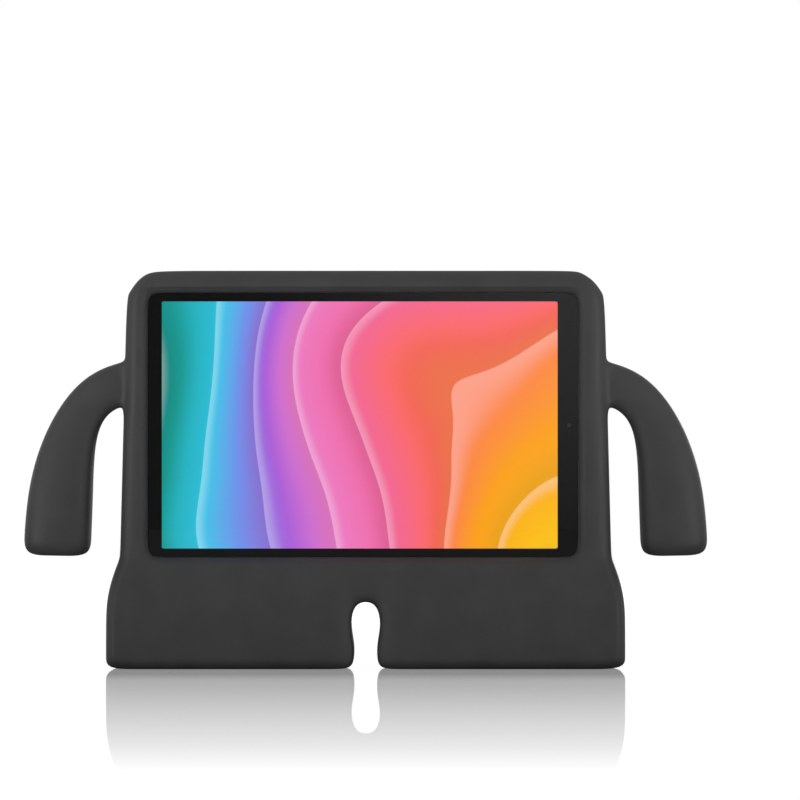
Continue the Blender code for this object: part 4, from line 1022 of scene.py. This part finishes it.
class CASE_OT_shell(bpy.types.Operator):
    """Finish the shell, the keys, the socket and the cameras"""

    bl_idname = "tablet_case.shell"
    bl_label = "Shell and cameras"

    def execute(self, context):
        settings = context.scene.tablet
        # Aluminium, bead-blasted and dyed blue-grey: even, with a fine sparkle of 0.15 mm dimples
        # drawn at 0.4 mm
        anodised = speckled_material(
            "anodised_aluminium", settings.shell, 0.0004, 0.05, 0.27, Metallic=1.0
        )
        for node in ("back_shell", "power_key", "volume_key", "mid_frame"):
            paint(node, anodised)
        # Camera plate of dark glass-filled plastic under a hard gloss coat
        gloss = speckled_material(
            "coated_black_plate", linear("#08080a"), 0.0005, 0.15, 0.16, IOR=1.5, Coat_Weight=0.6
        )
        paint("rear_camera", gloss)
        # Stamped nickel-plated steel of the socket
        nickel = speckled_material(
            "nickel_plated_steel", linear("#a9a9aa"), 0.0006, 0.06, 0.28, Metallic=1.0
        )
        paint("usb_socket", nickel)
        # Dark coated lens glass
        lens_glass = speckled_material(
            "coated_lens_glass", linear("#0a0c18"), 0.0008, 0.2, 0.05, IOR=1.6, Coat_Weight=1.0
        )
        paint("front_camera", lens_glass)

        lens = (LENS_LOW + LENS_HIGH) / 2
        radius = (LENS_HIGH.x - LENS_LOW.x) / 2
        face = LENS_HIGH.y
        ring = settings.lens_ring
        profile = (
            (radius - ring, LENS_LOW.y),
            (radius, LENS_LOW.y),
            (radius, face - RING_BEVEL),
            (radius - RING_BEVEL, face),
            (radius - ring * RING_FLAT_SHARE, face),
            (radius - ring, face - RING_SLOPE),
        )
        made = lathe("lens_ring", profile, (lens.x, 0.0, lens.z), LENS_SIDES, closed=True)
        round_off(made)
        steel = speckled_material(
            "turned_lens_ring", linear("#55585e"), 0.0003, 0.05, 0.3, Metallic=1.0
        )
        made.data.materials.append(steel)
        finish("lens_ring", HOLDER, "steel")

        inside = radius - ring - LENS_GAP
        profile = [(inside, LENS_LOW.y), (inside, face - LENS_RECESS)]
        for step in range(1, LENS_STEPS + 1):
            angle = math.radians(90 * step / LENS_STEPS)
            bulge = LENS_CROWN * math.sin(angle)
            profile.append((inside * math.cos(angle) + LENS_TIP, face - LENS_RECESS + bulge))
        made = lathe("rear_lens_glass", profile, (lens.x, 0.0, lens.z), LENS_SIDES)
        round_off(made)
        made.data.materials.append(lens_glass)
        finish("rear_lens_glass", HOLDER, "lens", "rear_lens")
        return {"FINISHED"}


def round_off(piece):
    """Smooth shading on a turned piece, with its edges kept sharp."""
    piece.data.shade_smooth()
    piece.data.set_sharp_from_angle(angle=math.radians(35.0))


class CASE_OT_insides(bpy.types.Operator):
    """Finish the boards, the battery and the other pieces inside the tablet"""

    bl_idname = "tablet_case.insides"
    bl_label = "Inside the tablet"

    def execute(self, context):
        board = circuit_material()
        for node in ("main_board", "port_board", "key_board"):
            paint(node, board)
        # Pouch cell in a dark printed film
        film = speckled_material("battery_film", linear("#3c3d40"), 0.0020, 0.06, 0.38)
        paint("battery", film)
        # Speaker boxes moulded in matt black plastic
        plastic = speckled_material("moulded_black_plastic", linear("#1b1b1d"), 0.0006, 0.08, 0.48)
        for node in ("upper_speaker", "lower_speaker"):
            paint(node, plastic)

        settings = context.scene.tablet
        middle = (SOCKET_LOW + SOCKET_HIGH) / 2
        first = middle.z - CONTACT_SPACING * (settings.contacts - 1) / 2
        # Gold over nickel, rolled and plated
        plating = speckled_material(
            "plated_contacts", linear("#c9a24e"), 0.0005, 0.05, 0.25, Metallic=1.0
        )
        for name, side in (("front_contacts", -1), ("rear_contacts", 1)):
            across = middle.y + side * CONTACT_FROM_MIDDLE
            values = {
                "Count": settings.contacts,
                "Spacing": CONTACT_SPACING,
                "Contact": CONTACT_SIZE,
                "First": (SOCKET_HIGH.x - CONTACT_FROM_MOUTH, across, first),
                "Plating": plating,
            }
            run_tree(name, empty_source(name + "_start"), contacts_tree(), values)
            finish(name, HOLDER, "steel")
        return {"FINISHED"}


# Studio

# How much the floor mirrors, by distance in metres
FLOOR_FADE = (
    (0.066, 0.74),
    (0.129, 0.61),
    (0.247, 0.54),
    (0.406, 0.42),
    (0.550, 0.31),
    (0.677, 0.20),
    (0.792, 0.055),
    (0.830, 0.0),
)
CASE_HALF_SOLE = 0.14
FLOOR_HALF = 3.2
FRONT_LAMP_SIZE = (0.7, 0.14)
FRONT_LAMP_SPREAD = 44.0
FRONT_LAMP_PLACE = (0.75, -0.62, 0.08)
FRONT_LAMP_AIM = (0.28, 0.0, 0.19)
BACK_LAMP_SIZE = (0.8, 0.3)
BACK_LAMP_PLACE = (0.45, 1.3, 0.42)
BACK_LAMP_AIM = (0.0, 0.0, 0.1)
PANEL_DIRECTION = (0.042, -1.0, 0.034)


def floor_material(settings):
    """White acrylic sheet: it mirrors what stands on it at a low angle, fading with distance."""
    made, add, place = new_material("white_acrylic_floor")
    axes = add("ShaderNodeSeparateXYZ", (place,))
    wide = add("ShaderNodeMath", (axes.outputs["X"],), operation="ABSOLUTE")
    beside = add("ShaderNodeMath", (wide, CASE_HALF_SOLE), operation="SUBTRACT")
    outside = add("ShaderNodeMath", (beside, 0.0), operation="MAXIMUM")
    around = add("ShaderNodeCombineXYZ", {"X": outside, "Y": axes.outputs["Y"]})
    away = add("ShaderNodeVectorMath", (around,), operation="LENGTH")
    reach = FLOOR_FADE[-1][0]
    share = add("ShaderNodeMath", (away, reach), operation="DIVIDE")
    fade = add("ShaderNodeValToRGB", (share,))
    elements = fade.color_ramp.elements
    elements[0].position = FLOOR_FADE[0][0] / reach
    elements[0].color = (*[FLOOR_FADE[0][1]] * 3, 1.0)
    elements[1].color = BLACK
    for distance, level in FLOOR_FADE[1:-1]:
        elements.new(distance / reach).color = (level, level, level, 1.0)
    facing = add("ShaderNodeLayerWeight", {"Blend": 0.5}).outputs["Facing"]
    grazing = add("ShaderNodeMapRange", (facing, 0.75, 0.93), interpolation_type="SMOOTHSTEP")
    mirror_share = add("ShaderNodeMath", (fade, grazing), operation="MULTIPLY")
    seen = add("ShaderNodeLightPath").outputs["Is Camera Ray"]
    glow = add("ShaderNodeMath", (seen, settings.floor_glow), operation="MULTIPLY")
    white = add("ShaderNodeBsdfPrincipled", {
        "Base Color": tuple(settings.floor),
        "Roughness": 0.8,
        "Specular IOR Level": 0.0,
        "Emission Color": WHITE,
        "Emission Strength": glow,
    })
    mirror = add("ShaderNodeBsdfGlossy", {"Color": WHITE, "Roughness": 0.0})
    mixed = add("ShaderNodeMixShader", (mirror_share, white, mirror))
    add("ShaderNodeOutputMaterial", (mixed,))
    return made


def studio_world(settings):
    """Even light all round, seen as white; a dim room with one soft panel lies behind the camera.

    The floor is the one perfect mirror, so its sharp reflections are told from the rest and stay
    white, while glass, metal and foam reflect the dim room.
    """
    world = bpy.data.worlds.new("studio")
    bpy.context.scene.world = world
    world.use_nodes = True
    world.node_tree.nodes.clear()
    add = partial(add_node, world.node_tree)
    rays = add("ShaderNodeLightPath").outputs
    way = add("ShaderNodeTexCoord").outputs["Generated"]
    off_panel = add("ShaderNodeVectorMath", (way, PANEL_DIRECTION), operation="DISTANCE")
    panel = add(
        "ShaderNodeMapRange", (off_panel, 0.0, 0.08, 0.40, 0.085), interpolation_type="SMOOTHSTEP"
    )
    room = add("ShaderNodeMapRange", (off_panel, 0.25, 1.1, 0.0, 0.95), interpolation_type="SMOOTHSTEP")
    glossy = add("ShaderNodeMath", (panel, room), operation="ADD")
    bounces = (rays["Is Glossy Ray"], rays["Is Transmission Ray"])
    bounced = add("ShaderNodeMath", bounces, operation="MAXIMUM")
    level = add("ShaderNodeMix", {0: bounced, 2: settings.ambient, 3: glossy}, data_type="FLOAT")
    white = add("ShaderNodeMath", (rays["Is Camera Ray"], rays["Is Singular Ray"]), operation="MAXIMUM")
    strength = add("ShaderNodeMix", {0: white, 2: level, 3: 1.0}, data_type="FLOAT")
    light = add("ShaderNodeBackground", {"Color": WHITE, "Strength": strength})
    add("ShaderNodeOutputWorld", (light,))


def add_lamp(name, power, size, place, aim, spread=180.0):
    """Rectangular lamp aimed at a point, with its spread in degrees."""
    light = bpy.data.lights.new(name, "AREA")
    light.spread = math.radians(spread)
    light.energy = power
    light.shape = "RECTANGLE"
    light.size, light.size_y = size
    lamp = bpy.data.objects.new(name, light)
    lamp.location = place
    lamp.rotation_euler = (Vector(aim) - Vector(place)).to_track_quat("-Z", "Y").to_euler()
    bpy.context.scene.collection.objects.link(lamp)


class CASE_OT_studio(bpy.types.Operator):
    """Lay the floor and set the light and the camera"""

    bl_idname = "tablet_case.studio"
    bl_label = "Studio"

    def execute(self, context):
        settings = context.scene.studio
        built = bmesh.new()
        bmesh.ops.create_grid(built, x_segments=1, y_segments=1, size=FLOOR_HALF)
        floor = link_bmesh("floor", built)
        floor.data.materials.append(floor_material(settings))

        studio_world(settings)
        for name, side, power in (
            ("key_lamp", -1, settings.key_power),
            ("fill_lamp", 1, settings.fill_power),
        ):
            place, aim = ((side * x, y, z) for x, y, z in (FRONT_LAMP_PLACE, FRONT_LAMP_AIM))
            add_lamp(name, power, FRONT_LAMP_SIZE, place, aim, FRONT_LAMP_SPREAD)
        back = (BACK_LAMP_SIZE, BACK_LAMP_PLACE, BACK_LAMP_AIM)
        add_lamp("back_lamp", settings.back_power, *back)

        camera_data = bpy.data.cameras.new("camera")
        camera_data.lens = camera_data.sensor_width * settings.camera_distance / settings.view_width
        camera_data.clip_end = 100.0
        camera = bpy.data.objects.new("camera", camera_data)
        camera.location = (settings.view_x, -settings.camera_distance, settings.view_z)
        camera.rotation_euler = (math.pi / 2, 0.0, 0.0)
        context.scene.collection.objects.link(camera)
        context.scene.camera = camera
        context.scene.view_settings.view_transform = "Standard"
        return {"FINISHED"}


class CASE_PT_panel(bpy.types.Panel):
    """Settings and buttons in the 3D view's sidebar"""

    bl_idname = "CASE_PT_panel"
    bl_label = "Tablet case"
    bl_space_type = "VIEW_3D"
    bl_region_type = "UI"
    bl_category = "Tablet case"

    def draw(self, context):
        for group, operators in (
            (context.scene.foam_case, (CASE_OT_foam_case,)),
            (context.scene.tablet, (CASE_OT_screen, CASE_OT_shell, CASE_OT_insides)),
            (context.scene.studio, (CASE_OT_studio,)),
        ):
            box = self.layout.box()
            for name in group.__annotations__:
                box.prop(group, name)
            for operator in operators:
                box.operator(operator.bl_idname)


SETTINGS = {
    "foam_case": FoamCaseSettings,
    "tablet": TabletSettings,
    "studio": StudioSettings,
}
OPERATORS = (CASE_OT_foam_case, CASE_OT_screen, CASE_OT_shell, CASE_OT_insides, CASE_OT_studio)


def register():
    for made in (*SETTINGS.values(), *OPERATORS, CASE_PT_panel):
        bpy.utils.register_class(made)
    for name, group in SETTINGS.items():
        setattr(bpy.types.Scene, name, bpy.props.PointerProperty(type=group))


def unregister():
    for name in SETTINGS:
        delattr(bpy.types.Scene, name)
    for made in reversed((*SETTINGS.values(), *OPERATORS, CASE_PT_panel)):
        bpy.utils.unregister_class(made)


def main():
    register()
    bpy.ops.tablet_case.foam_case()
    bpy.ops.tablet_case.screen()
    bpy.ops.tablet_case.shell()
    bpy.ops.tablet_case.insides()
    bpy.ops.tablet_case.studio()


if __name__ == "__main__":
    main()
